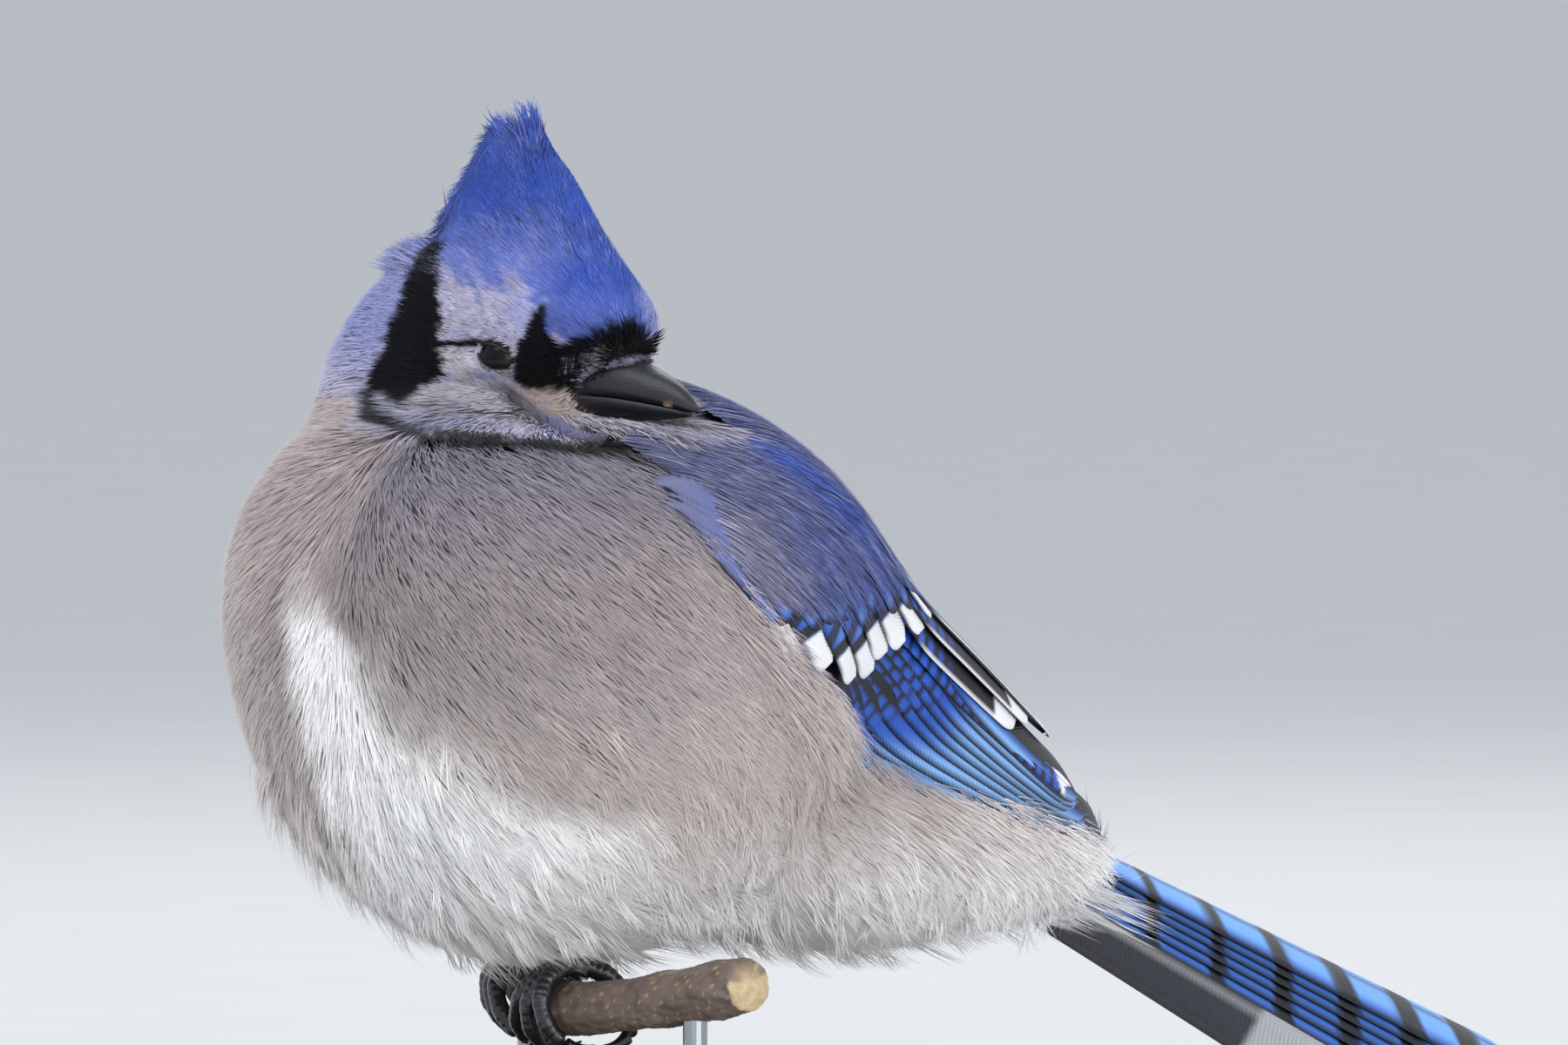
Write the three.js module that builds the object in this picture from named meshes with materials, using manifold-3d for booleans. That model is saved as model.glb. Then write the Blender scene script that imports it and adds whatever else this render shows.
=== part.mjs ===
import * as THREE from "three";
import { mergeVertices } from "three/addons/utils/BufferGeometryUtils.js";
import Module from "manifold-3d";

// A fluffed-up blue jay perched on a cut length of twig over a display stand.
// Millimetres, +Z up. The bird faces -Y, its left side is +X. The origin is the
// middle of the underside of the base. Bird and twig are drawn with Z = 0 at the
// perch and lifted by PERCH_HEIGHT at the end.

// Driving dimensions. GAP parts neighbouring nodes; a vane is SHEET thick.
const PERCH_HEIGHT = 42;
const GAP = 0.3;
const SHEET = 0.55;
const BALL_RADIUS = 53.5;
const EYE_RADIUS = 4.6;
const EYE_SPREAD = 9.2;
const TAIL_LENGTH = 126;
const TWIG_RADIUS = 4.4;
const TOE_RADIUS = 1.75;

// Head pose: the bill is swung over the left shoulder and dips a little.
const HEAD_TURN = 100;
const HEAD_DIP = 6;
const HEAD_AT = new THREE.Vector3(5.6, -12, 101);

// Fluffed plumage forms as ellipsoids: centre, radii, pitch about X.
const BALL = { at: [0, -7.5, 61], r: [BALL_RADIUS, BALL_RADIUS, 38], low: 60, pitch: 0 };
const CHEST = { at: [0, -20, 72], r: [40, 36, 25], pitch: 0 };
const VENT = { at: [0, 50, 22], r: [34, 50, 20.5], pitch: 4 };
const RUMP = { at: [0, 34, 44], r: [30, 46, 19], pitch: 36 };
const FOLDED_WING = { at: [21, 46, 45.5], r: [15, 62, 14], pitch: 35, yaw: -7 };

const FRINGE_LOCKS = 22;

// Head forms in head axes: forward, left, up from the line through the eyes.
const SKULL = { at: [-4, 0, 3], r: [17, 14, 14], pitch: 0 };
const BROW = { at: [10, 0, 6], r: [10.5, 9, 8.5], pitch: 0 };
const CHIN = { at: [4, 0, -11], r: [13, 9, 6], pitch: 0 };
const CROWN = { at: [-7, 0, 12], r: [17, 7, 9], pitch: 10 };
const NAPE = { at: [-15, 0, 3], r: [17, 14.5, 15], pitch: 0 };
const RUFF = { at: [-21, 0, -12], r: [22, 21, 24], pitch: 0 };

// The dent in the breast's down where the bill rests, in head axes.
const BILL_DENT = { at: [20, -7, 0], r: [19, 16, 9.3], pitch: 0 };

// Guide curves of the left wing: its lower edge and its edge along the back.
const WING_LOW = [[52, -4, 66], [42, 44, 20], [23, 99, 17]];
const WING_TOP = [[7, -2, 99], [6, 54, 70], [17, 98, 22]];

// Depth of the wing's pad, and of the room round it: beside, below and above.
const WING_PAD = 8;
const WING_MARGIN = 5.6;
const WING_FLOOR = 1.7;
const WING_CEILING = 9;
const RUMP_CUT = { half: 34, low: 14, high: 60, from: 87, to: 120 };

// Tail: root, direction of the ridge, fall of its sides, and its feathers' edges.
const TAIL_ROOT = new THREE.Vector3(4.3, 64, 34);
const TAIL_DIR = new THREE.Vector3(0.187, 0.893, -0.409).normalize();
const TAIL_ARCH = 0.13;
const TAIL_PAIRS = 6;
const TAIL_EDGE = 15.2;
const TAIL_STEP = 1.5;
const TAIL_VANE = 15.6;

// Twig: points its middle passes through.
const TWIG_PATH = [[-34, 18, 0], [-14, 0, -3], [12, -12, -5.1], [36, -12.5, -2.5], [58, -13, 1.2]];

// Stand.
const BASE = { wide: 112, deep: 132, high: 8, edge: 2 };
const ROD_RADIUS = 2;
const ROD_X = [-22, 44];

const wasm = await Module();
wasm.setup();

const rad = (degrees) => (degrees * Math.PI) / 180;
const vec = (a) => new THREE.Vector3(a[0], a[1], a[2]);
const lerp = THREE.MathUtils.lerp;
const clamp = THREE.MathUtils.clamp;

// Seeded noise in 0..1, so every feather varies a little and always alike.
function seeded(seed) {
  let state = seed >>> 0;
  return () => {
    state = (state * 1664525 + 1013904223) >>> 0;
    return state / 4294967296;
  };
}

// Forms.

// About the distance from p to an ellipsoid, below zero inside it.
function ellipsoid(p, form) {
  let x = p.x - form.at[0];
  let y = p.y - form.at[1];
  let z = p.z - form.at[2];
  if (form.yaw) {
    const c = Math.cos(rad(form.yaw));
    const s = Math.sin(rad(form.yaw));
    [x, y] = [x * c - y * s, x * s + y * c];
  }
  const c = Math.cos(rad(form.pitch));
  const s = Math.sin(rad(form.pitch));
  [y, z] = [y * c - z * s, y * s + z * c];
  const rz = z < 0 && form.low ? form.low : form.r[2];
  const k = Math.hypot(x / form.r[0], y / form.r[1], z / rz);
  const g = Math.hypot(x / form.r[0] ** 2, y / form.r[1] ** 2, z / rz ** 2) + 1e-9;
  return (k * (k - 1)) / g;
}

// Blends two distances with a fillet about k wide.
function blend(a, b, k) {
  const h = clamp(0.5 + (0.5 * (b - a)) / k, 0, 1);
  return lerp(b, a, h) - k * h * (1 - h);
}

function torsoField(p) {
  const front = blend(ellipsoid(p, BALL), ellipsoid(p, CHEST), 8);
  return blend(blend(front, ellipsoid(p, VENT), 10), ellipsoid(p, RUMP), 10);
}

function wingField(p) {
  return blend(torsoField(p), ellipsoid(p, FOLDED_WING), 12);
}

// Head axes in the part's frame.
const HEAD_FORWARD = new THREE.Vector3(
  Math.sin(rad(HEAD_TURN)) * Math.cos(rad(HEAD_DIP)),
  -Math.cos(rad(HEAD_TURN)) * Math.cos(rad(HEAD_DIP)),
  -Math.sin(rad(HEAD_DIP)),
);
const HEAD_LEFT = new THREE.Vector3(Math.cos(rad(HEAD_TURN)), Math.sin(rad(HEAD_TURN)), 0);
const HEAD_UP = new THREE.Vector3().crossVectors(HEAD_FORWARD, HEAD_LEFT);

function headPoint(forward, left, up) {
  return HEAD_AT.clone()
    .addScaledVector(HEAD_FORWARD, forward)
    .addScaledVector(HEAD_LEFT, left)
    .addScaledVector(HEAD_UP, up);
}

function inHead(p) {
  const d = p.clone().sub(HEAD_AT);
  return new THREE.Vector3(d.dot(HEAD_FORWARD), d.dot(HEAD_LEFT), d.dot(HEAD_UP));
}

// Head forms pitch in their forward-up plane, so the axes are cycled first.
function headEllipsoid(q, form) {
  const turned = new THREE.Vector3(q.y, q.x, q.z);
  const at = [form.at[1], form.at[0], form.at[2]];
  return ellipsoid(turned, { at, r: [form.r[1], form.r[0], form.r[2]], pitch: -form.pitch });
}

function headField(p) {
  const q = inHead(p);
  const face = blend(headEllipsoid(q, SKULL), headEllipsoid(q, BROW), 5);
  return blend(blend(face, headEllipsoid(q, CHIN), 5), headEllipsoid(q, CROWN), 6);
}

function neckField(p) {
  const q = inHead(p);
  return blend(headEllipsoid(q, RUFF), headEllipsoid(q, NAPE), 8);
}

// Where the ray from a point inside the form leaves it, grown by some distance.
function edgeAlong(field, from, direction, grow) {
  let near = 0;
  let far = 150;
  const p = new THREE.Vector3();
  for (let i = 0; i < 24; i++) {
    const mid = (near + far) / 2;
    p.copy(from).addScaledVector(direction, mid);
    if (field(p) < grow) near = mid;
    else far = mid;
  }
  return from.clone().addScaledVector(direction, near);
}

function normalOf(field, p) {
  const e = 0.4;
  const along = (axis) => {
    const a = p.clone();
    const b = p.clone();
    a[axis] += e;
    b[axis] -= e;
    return field(a) - field(b);
  };
  return new THREE.Vector3(along("x"), along("y"), along("z")).normalize();
}

// Solids.

// A closed body from rings of points; a ring of one point is a pole. Sheets of
// four points a ring are split alike on both faces.
function ringBody(rings) {
  const points = [];
  const starts = rings.map((ring) => {
    const start = points.length / 3;
    ring.forEach((p) => points.push(p.x, p.y, p.z));
    return start;
  });
  const index = [];
  for (let i = 0; i + 1 < rings.length; i++) {
    const [a, b] = [starts[i], starts[i + 1]];
    const [na, nb] = [rings[i].length, rings[i + 1].length];
    const n = Math.max(na, nb);
    for (let j = 0; j < n; j++) {
      const k = (j + 1) % n;
      if (na === 1) index.push(a, b + k, b + j);
      else if (nb === 1) index.push(a + j, a + k, b);
      else if (n === 4 && j >= 2) index.push(a + j, a + k, b + j, a + k, b + k, b + j);
      else index.push(a + j, a + k, b + k, a + j, b + k, b + j);
    }
  }
  const last = rings.length - 1;
  for (let j = 1; j + 1 < rings[0].length; j++)
    index.push(starts[0], starts[0] + j + 1, starts[0] + j);
  for (let j = 1; j + 1 < rings[last].length; j++)
    index.push(starts[last], starts[last] + j, starts[last] + j + 1);
  const geometry = new THREE.BufferGeometry();
  geometry.setAttribute("position", new THREE.Float32BufferAttribute(points, 3));
  geometry.setIndex(index);
  return solid(geometry);
}

// A geometry as a body that can be joined and cut, its faces turned outward.
function solid(geometry) {
  const bare = new THREE.BufferGeometry();
  bare.setAttribute("position", geometry.getAttribute("position"));
  if (geometry.index) bare.setIndex(geometry.index);
  const merged = mergeVertices(bare, 1e-4);
  const vertProperties = new Float32Array(merged.attributes.position.array);
  const triVerts = new Uint32Array(merged.index.array);
  const made = new wasm.Manifold(new wasm.Mesh({ numProp: 3, vertProperties, triVerts }));
  if (made.volume() > 0) return made;
  for (let i = 0; i < triVerts.length; i += 3)
    [triVerts[i + 1], triVerts[i + 2]] = [triVerts[i + 2], triVerts[i + 1]];
  return new wasm.Manifold(new wasm.Mesh({ numProp: 3, vertProperties, triVerts }));
}

function largest(body) {
  const pieces = body.decompose();
  return pieces.reduce((best, piece) => (piece.volume() > best.volume() ? piece : best));
}

function joined(bodies) {
  return bodies.reduce((all, one) => all.add(one));
}

// The same body with its whole skin moved outward.
function grown(body, by) {
  const mesh = body.getMesh();
  const geometry = new THREE.BufferGeometry();
  const points = Float32Array.from(mesh.vertProperties);
  geometry.setAttribute("position", new THREE.BufferAttribute(points, 3));
  geometry.setIndex(new THREE.BufferAttribute(Uint32Array.from(mesh.triVerts), 1));
  geometry.computeVertexNormals();
  const normals = geometry.getAttribute("normal").array;
  for (let i = 0; i < points.length; i++) points[i] += by * normals[i];
  return solid(geometry);
}

// The same body seen in a mirror across the plane X = 0.
function mirrored(body) {
  const mesh = body.getMesh();
  const points = Float32Array.from(mesh.vertProperties);
  for (let i = 0; i < points.length; i += 3) points[i] = -points[i];
  const geometry = new THREE.BufferGeometry();
  geometry.setAttribute("position", new THREE.BufferAttribute(points, 3));
  geometry.setIndex(new THREE.BufferAttribute(mesh.triVerts, 1));
  return solid(geometry);
}

// A closed skin of a rounded form: rays leave an inner point round an axis.
function bodyOf(field, centre, axis, rows, cols, grow = 0) {
  const side = new THREE.Vector3(1, 0, 0);
  if (Math.abs(axis.x) > 0.9) side.set(0, 1, 0);
  const across = new THREE.Vector3().crossVectors(axis, side).normalize();
  side.crossVectors(across, axis).normalize();
  const rings = [];
  for (let i = 0; i <= rows; i++) {
    const polar = (Math.PI * i) / rows;
    const pole = i === 0 || i === rows;
    const ring = [];
    for (let j = 0; j < (pole ? 1 : cols); j++) {
      const turn = (2 * Math.PI * j) / cols;
      const direction = axis.clone().multiplyScalar(Math.cos(polar));
      direction.addScaledVector(across, Math.sin(polar) * Math.cos(turn));
      direction.addScaledVector(side, Math.sin(polar) * Math.sin(turn));
      ring.push(edgeAlong(field, centre, direction, grow));
    }
    rings.push(ring);
  }
  return ringBody(rings);
}

// A round bar along a path, its radius given along it, with closed ends.
function bar(points, radii, sides = 8, flat = 1) {
  const tangents = points.map((p, i) => {
    const before = points[Math.max(i - 1, 0)];
    const after = points[Math.min(i + 1, points.length - 1)];
    return after.clone().sub(before).normalize();
  });
  const first = tangents[0];
  const guide = Math.abs(first.z) > 0.9 ? new THREE.Vector3(0, 1, 0) : new THREE.Vector3(0, 0, 1);
  let up = guide.addScaledVector(first, -guide.dot(first)).normalize();
  const rings = points.map((p, i) => {
    up = up.clone().addScaledVector(tangents[i], -up.dot(tangents[i])).normalize();
    const side = new THREE.Vector3().crossVectors(tangents[i], up);
    const ring = [];
    for (let j = 0; j < sides; j++) {
      const turn = (2 * Math.PI * (j + 0.5)) / sides;
      const out = up.clone().multiplyScalar(Math.cos(turn) * radii[i]);
      out.addScaledVector(side, Math.sin(turn) * radii[i] * flat);
      ring.push(p.clone().add(out));
    }
    return ring;
  });
  return ringBody(rings);
}

// Width of a feather along its length as a share of its full width.
const VANE = { along: [0, 0.35, 0.7, 0.9, 1], wide: [0.55, 1, 1, 0.82, 0.32] };
const PLUME = { along: [0, 0.4, 0.75, 1], wide: [0.8, 1, 0.75, 0.18] };
const LOCK = { along: [0, 0.55, 1], wide: [0.9, 1, 0.16] };

// A feather as a thin sheet. place(s) gives its middle line and its normal; the
// leading edge is raised by lean, so neighbours overlap like shingles.
function feather(place, width, shape = VANE, lean = 0, thick = SHEET) {
  const middles = shape.along.map((s) => place(s));
  const rings = middles.map(({ at, normal }, i) => {
    const before = middles[Math.max(i - 1, 0)].at;
    const after = middles[Math.min(i + 1, middles.length - 1)].at;
    const ahead = after.clone().sub(before).normalize();
    const side = new THREE.Vector3().crossVectors(normal, ahead).normalize();
    const up = new THREE.Vector3().crossVectors(ahead, side);
    const half = (width * shape.wide[i]) / 2;
    const corner = (across, over) =>
      at
        .clone()
        .addScaledVector(side, across * half)
        .addScaledVector(up, over * (thick / 2) - across * half * lean);
    return [corner(-1, 1), corner(1, 1), corner(1, -1), corner(-1, -1)];
  });
  return ringBody(rings);
}

// Torso.

const BODY_MIDDLE = new THREE.Vector3(0, 8, 45);
const BODY_AXIS = new THREE.Vector3(0, -Math.cos(rad(25)), Math.sin(rad(25)));

function torsoBody(grow) {
  return bodyOf(torsoField, BODY_MIDDLE, BODY_AXIS, 16, 24, grow);
}

// A lock of long plumage lying on the torso and hanging free at its tip.
function fringeLock(from, to, width, drop) {
  const place = (s) => {
    const normal = from.clone().lerp(to, s).sub(BODY_MIDDLE).normalize();
    const at = edgeAlong(torsoField, BODY_MIDDLE, normal, lerp(-2, 2.2, s));
    at.z -= drop * s * s;
    return { at, normal };
  };
  return feather(place, width, LOCK, 0, 0.7);
}

// Locks round the lower edge of the belly and behind the vent.
function fringe() {
  const random = seeded(11);
  const locks = [];
  for (let i = 0; i < FRINGE_LOCKS; i++) {
    const turn = (2 * Math.PI * (i + 0.3 * random())) / FRINGE_LOCKS;
    const reach = 1 + 0.1 * (random() - 0.5);
    const back = Math.max(0, -Math.cos(turn));
    const ring = (share, z) =>
      new THREE.Vector3(
        Math.sin(turn) * lerp(46, 30, back) * share,
        8 - Math.cos(turn) * lerp(60, 88, back) * share,
        z,
      );
    const from = ring(0.78 * reach, lerp(22, 16, back));
    const to = ring(lerp(0.6, 0.93, back) * reach, lerp(0, 6, back));
    locks.push(fringeLock(from, to, 6 + 1.5 * random(), 2 + 3 * random()));
  }
  return locks;
}

// Head.

function headBody(grow) {
  return bodyOf(headField, headPoint(-4, 0, 2), HEAD_UP, 14, 20, grow);
}

function neckBody(grow) {
  return bodyOf(neckField, headPoint(-19, 0, -8), HEAD_UP, 12, 18, grow);
}

function ball(centre, radius, rows, cols) {
  const round = (p) => p.distanceTo(centre) - radius;
  return bodyOf(round, centre, HEAD_LEFT, rows, cols);
}

const eyeCentre = (side) => headPoint(-1, side * EYE_SPREAD, 0);

// Lids: a cap over the eye with an almond opening, its corners fore and aft.
function lids(side) {
  const centre = eyeCentre(side);
  const cap = ball(centre, EYE_RADIUS + 1.1, 8, 12).subtract(
    ball(centre, EYE_RADIUS + GAP, 10, 18),
  );
  const opening = (depth) => {
    const ring = [];
    for (let j = 0; j < 12; j++) {
      const turn = (2 * Math.PI * j) / 12;
      const f = 0.75 + 3.4 * Math.cos(turn);
      const u = 0.4 + 2.15 * Math.sin(turn) * (1 - 0.25 * Math.abs(Math.cos(turn)));
      ring.push(headPoint(-1 + f, side * depth, u - 0.22 * f));
    }
    return ring;
  };
  const hidden = (depth) => {
    const r = EYE_RADIUS + 3;
    return [[-r, -r], [r, -r], [r, r], [-r, r]].map(([f, u]) =>
      headPoint(-1 + f, side * depth, u),
    );
  };
  const almond = ringBody([opening(EYE_SPREAD), opening(EYE_SPREAD + 12)]);
  const inner = ringBody([hidden(EYE_SPREAD - 8), hidden(EYE_SPREAD + 2)]);
  return largest(cap.subtract(almond).subtract(inner));
}

// Bill: height of culmen, mouth line and lower edge, and half width, along it.
const BILL_ALONG = [7, 12, 18.4, 24, 28, 31, 33];
const CULMEN = [3.4, 3.3, 2.3, 0.75, -0.6, -2.5, -4.6];
const MOUTH = [-4.6, -4.3, -4.1, -4.3, -4.6, -4.9, -5.2];
const KEEL = [-9, -8.6, -8, -7.4, -6.7, -6, -5.6];
const BILL_HALF = [6.2, 5.6, 4.7, 3.5, 2.4, 1.3, 0.5];

function billBody(upper, grow) {
  const last = upper ? BILL_ALONG.length : BILL_ALONG.length - 1;
  const rings = [];
  for (let i = 0; i < last; i++) {
    const half = BILL_HALF[i] + grow;
    const reach = BILL_ALONG[i] + (i === 0 ? -grow : 0) + (i === last - 1 ? grow : 0);
    const flat = upper ? MOUTH[i] - grow : MOUTH[i] - GAP + grow;
    const crest = upper ? CULMEN[i] + grow : KEEL[i] - grow;
    const ring = [];
    for (let j = 0; j <= 8; j++) {
      const turn = (Math.PI * j) / 8;
      const side = Math.cos(turn) * half;
      const rise = flat + (crest - flat) * Math.sin(turn) ** 0.8;
      ring.push(headPoint(reach, side, rise));
    }
    rings.push(ring);
  }
  return ringBody(rings);
}

// Short stiff plumes over the nostrils, lying forward on the bill.
function nostrilPlumes() {
  const plumes = [];
  for (const side of [-1, 1])
    for (let i = 0; i < 4; i++) {
      const spread = side * lerp(1.6, 5.4, i / 3);
      const high = lerp(4.6, -0.6, i / 3);
      plumes.push(
        feather(
          (s) => ({
            at: headPoint(lerp(9, 19.5 - 0.9 * i, s), spread * lerp(1, 0.94, s), high - 0.9 * s),
            normal: headPoint(0, spread, 6 - 1.2 * i).sub(HEAD_AT).normalize(),
          }),
          2.6,
          PLUME,
          0,
          0.6,
        ),
      );
    }
  return plumes;
}

// Crest: forward and up of each feather's tip, from the forehead to the nape.
const CREST_TIPS = [[4, 27], [0, 34], [-4, 40.5], [-8, 41], [-13, 38], [-19, 31.5], [-24, 25], [-26.5, 19]];
const CREST_ROWS = 8;
const CREST_LEAN = 0.2;
const CREST_BULGE = 4;
const CREST_PAD = { at: [-4, 0, 19], r: [15, 4.4, 10], pitch: -34 };

// A place between the points of a list, q running from 0 at its first to 1 at its last.
function along(list, q) {
  const span = clamp(q, 0, 1) * (list.length - 1);
  const i = Math.min(Math.floor(span), list.length - 2);
  return list[i].map((value, k) => lerp(value, list[i + 1][k], span - i));
}

// One crest feather: column -1, 0 or 1 is its row from the right to the left.
function crestFeather(q, column, wave) {
  const swell = Math.sin(Math.PI * q);
  const root = [lerp(15, -17, q), column * 4.4, 9.5 + 7 * swell];
  const [tipForward, tipUp] = along(CREST_TIPS, q);
  const tipSide = column * lerp(2.8, 1.9, swell) + 0.3 * wave;
  const place = (s) => ({
    at: headPoint(
      lerp(root[0], tipForward, s) + CREST_BULGE * Math.sin(Math.PI * s) * (0.5 - q),
      lerp(root[1], tipSide, s),
      lerp(root[2], tipUp - 1.5 * Math.abs(column) + wave, s),
    ),
    normal: headPoint(0, column || 1, 0.2).sub(HEAD_AT).normalize(),
  });
  return feather(place, 7.2, PLUME, CREST_LEAN);
}

// The crest's feathers rise from the crown and meet in a swept-back point.
function crest() {
  const random = seeded(5);
  const pad = bodyOf((p) => headEllipsoid(inHead(p), CREST_PAD), headPoint(-4, 0, 19), HEAD_UP, 7, 10);
  const bodies = [pad];
  for (let i = 0; i < CREST_ROWS; i++)
    for (const column of [-1, 0, 1]) {
      const q = (i + 0.35 * (random() - 0.5)) / (CREST_ROWS - 1);
      bodies.push(crestFeather(clamp(q, 0, 1), column, 1.6 * (random() - 0.5)));
    }
  return joined(bodies);
}

// Wings.

function bezier(points, s) {
  const [a, b, c] = points.map(vec);
  const ab = a.lerp(b.clone(), s);
  return ab.lerp(b.lerp(c, s), s);
}

// A place on the folded left wing: s along it, b from its lower to its top edge.
function onWing(s, b, height) {
  const p = bezier(WING_LOW, s).lerp(bezier(WING_TOP, s), b);
  const from = new THREE.Vector3(p.x * 0.25, p.y * 0.75 + 2, p.z * 0.62 + 12);
  const direction = p.clone().sub(from).normalize();
  const at = edgeAlong(wingField, from, direction, height);
  return { at, normal: normalOf(wingField, at) };
}

// The fleshy part of the wing under the coverts, a pad let into the flank.
function wingPad() {
  const rows = 6;
  const cols = 6;
  const rings = [];
  for (let i = 0; i <= rows; i++) {
    const s = lerp(-0.1, 0.34, i / rows);
    const top = lerp(0.2, -1.7, clamp(6 * s, 0, 1));
    const ring = [];
    const pinch = Math.sin((Math.PI * (i + 0.8)) / (rows + 1.6)) ** 0.5;
    const place = (j, height) => {
      const b = 0.3 + 0.36 * pinch * (2 * (j / cols) - 1);
      return onWing(s, b, height).at;
    };
    for (let j = 0; j <= cols; j++) ring.push(place(j, lerp(-3, top, pinch)));
    for (let j = cols; j >= 0; j--) ring.push(place(j, lerp(-4, -WING_PAD, pinch)));
    rings.push(ring);
  }
  return ringBody(rings);
}

// Room for the whole wing: a slab over its outline, let into the flank and the back.
function wingRoom() {
  const rows = 9;
  const cols = 6;
  const rings = [];
  for (let i = 0; i <= rows; i++) {
    const s = lerp(-0.16, 1.1, i / rows);
    const wide = bezier(WING_LOW, s).distanceTo(bezier(WING_TOP, s));
    const low = -0.1 - lerp(1, 2, clamp(s, 0, 1)) * (WING_MARGIN / wide);
    const top = 0.68 + WING_MARGIN / wide;
    const ring = [];
    const place = (j, height) => onWing(s, lerp(low, top, j / cols), height).at;
    for (let j = 0; j <= cols; j++) ring.push(place(j, WING_CEILING));
    const floor = WING_PAD + WING_FLOOR + 30 * Math.max(0, s - 0.9);
    for (let j = cols; j >= 0; j--) ring.push(place(j, -floor));
    rings.push(ring);
  }
  return ringBody(rings);
}

// One tier of vanes side by side; roots and tips are lines of (s, b) places.
function tier({ count, roots, tips, width, lift, sink, step, lean, seed }) {
  const random = seeded(seed);
  const vanes = [];
  for (let i = 0; i < count; i++) {
    const q = count > 1 ? i / (count - 1) : 0;
    const [s0, b0] = along(roots, q);
    const [s1, b1] = along(tips, q);
    const vary = 0.01 * (random() - 0.5);
    const place = (s) => {
      const rise = lerp(sink, lift, Math.min(3 * s, 1)) + step * i;
      return onWing(lerp(s0, s1 + vary, s), lerp(b0, b1, s), rise);
    };
    vanes.push(feather(place, width, VANE, lean));
  }
  return vanes;
}

const PRIMARIES = {
  count: 4, roots: [[0.26, 0.16], [0.28, 0.3]], tips: [[0.86, 0.08], [1.02, 0.3]],
  width: 7.4, lift: -7.8, sink: -7.4, step: 0.86, lean: 0.02, seed: 21,
};
const SECONDARIES = {
  count: 5, roots: [[0.16, 0.14], [0.24, 0.5]], tips: [[0.78, 0.12], [0.9, 0.22], [0.765, 0.36]],
  width: 10, lift: -4.2, sink: -4.4, step: 0.6, lean: 0.12, seed: 22,
};
const TERTIALS = {
  count: 3, roots: [[0.3, 0.48], [0.3, 0.6]], tips: [[0.63, 0.45], [0.67, 0.54], [0.745, 0.64]],
  width: 9.8, lift: -0.7, sink: -2.4, step: 0.86, lean: 0.02, seed: 23,
};
const GREATER_COVERTS = {
  count: 7, roots: [[0.04, 0.04], [0.13, 0.22], [0.2, 0.56]],
  tips: [[0.09, -0.08], [0.235, 0.06], [0.32, 0.24], [0.385, 0.38], [0.45, 0.56]],
  width: 8, lift: -1.2, sink: -2.6, step: 0.3, lean: 0.13, seed: 24,
};
const MEDIAN_COVERTS = {
  count: 6, roots: [[-0.03, 0.04], [0.16, 0.56]], tips: [[0.035, -0.08], [0.415, 0.56]],
  width: 8.4, lift: 0.5, sink: -1.6, step: 0.25, lean: 0.13, seed: 25,
};

const TIERS = [PRIMARIES, SECONDARIES, TERTIALS, GREATER_COVERTS, MEDIAN_COVERTS];

function leftWing() {
  return largest(joined([wingPad(), ...TIERS.flatMap(tier)]));
}

// Tail.

const TAIL_SIDE = new THREE.Vector3(0, 0, 1).cross(TAIL_DIR).normalize().negate();
const TAIL_UP = new THREE.Vector3().crossVectors(TAIL_SIDE, TAIL_DIR).normalize();

function tailPoint(along, side, up) {
  return TAIL_ROOT.clone()
    .addScaledVector(TAIL_DIR, along)
    .addScaledVector(TAIL_SIDE, side)
    .addScaledVector(TAIL_UP, up);
}

// Twelve rectrices: the middle pair on top, each pair farther out lower, shorter.
function tail() {
  const bodies = [
    bar([tailPoint(-6, 0, -5), tailPoint(6, 0, -5), tailPoint(18, 0, -5)], [3, 4.2, 3], 10, 2),
  ];
  for (const side of [-1, 1])
    for (let i = 0; i < TAIL_PAIRS; i++) bodies.push(rectrix(side, i));
  return joined(bodies);
}

// One tail feather, laid flat on the tail's roof, whose fall grows as distance to the power 1.5.
function rectrix(side, i) {
  const rank = i + (side > 0 ? 0 : 1);
  const length = TAIL_LENGTH - 0.75 * i * i - 0.4 * i;
  const width = TAIL_VANE - 0.5 * i;
  const place = (s) => {
    const out = (TAIL_EDGE + TAIL_STEP * i - width / 2) * lerp(0.45, 1, s);
    const down = TAIL_ARCH * out ** 1.5 + 0.9 * rank * Math.min(4 * s, 1);
    const slope = 1.5 * TAIL_ARCH * Math.sqrt(out);
    const normal = TAIL_UP.clone().addScaledVector(TAIL_SIDE, side * slope).normalize();
    return { at: tailPoint(lerp(2, length, s), side * out, -down - 0.4), normal };
  };
  return feather(place, width);
}

// Feet on the twig.

const TWIG = new THREE.CatmullRomCurve3(TWIG_PATH.map(vec));

function twigAt(x) {
  const span = TWIG_PATH.at(-1)[0] - TWIG_PATH[0][0];
  let t = clamp((x - TWIG_PATH[0][0]) / span, 0, 1);
  for (let i = 0; i < 8; i++) t = clamp(t + (x - TWIG.getPoint(t).x) / span, 0, 1);
  return TWIG.getPoint(t);
}

// A point beside the twig: turn 90 is over it, 0 its front, -90 below.
function roundTwig(x, turn, radius) {
  const ahead = twigAt(x + 0.5).sub(twigAt(x - 0.5)).normalize();
  const front = new THREE.Vector3(ahead.y, -ahead.x, 0).normalize();
  const up = new THREE.Vector3().crossVectors(front, ahead);
  return twigAt(x)
    .addScaledVector(front, Math.cos(rad(turn)) * radius)
    .addScaledVector(up, Math.sin(rad(turn)) * radius);
}

const TOE_RING = TWIG_RADIUS + GAP + TOE_RADIUS + 0.5;

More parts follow.
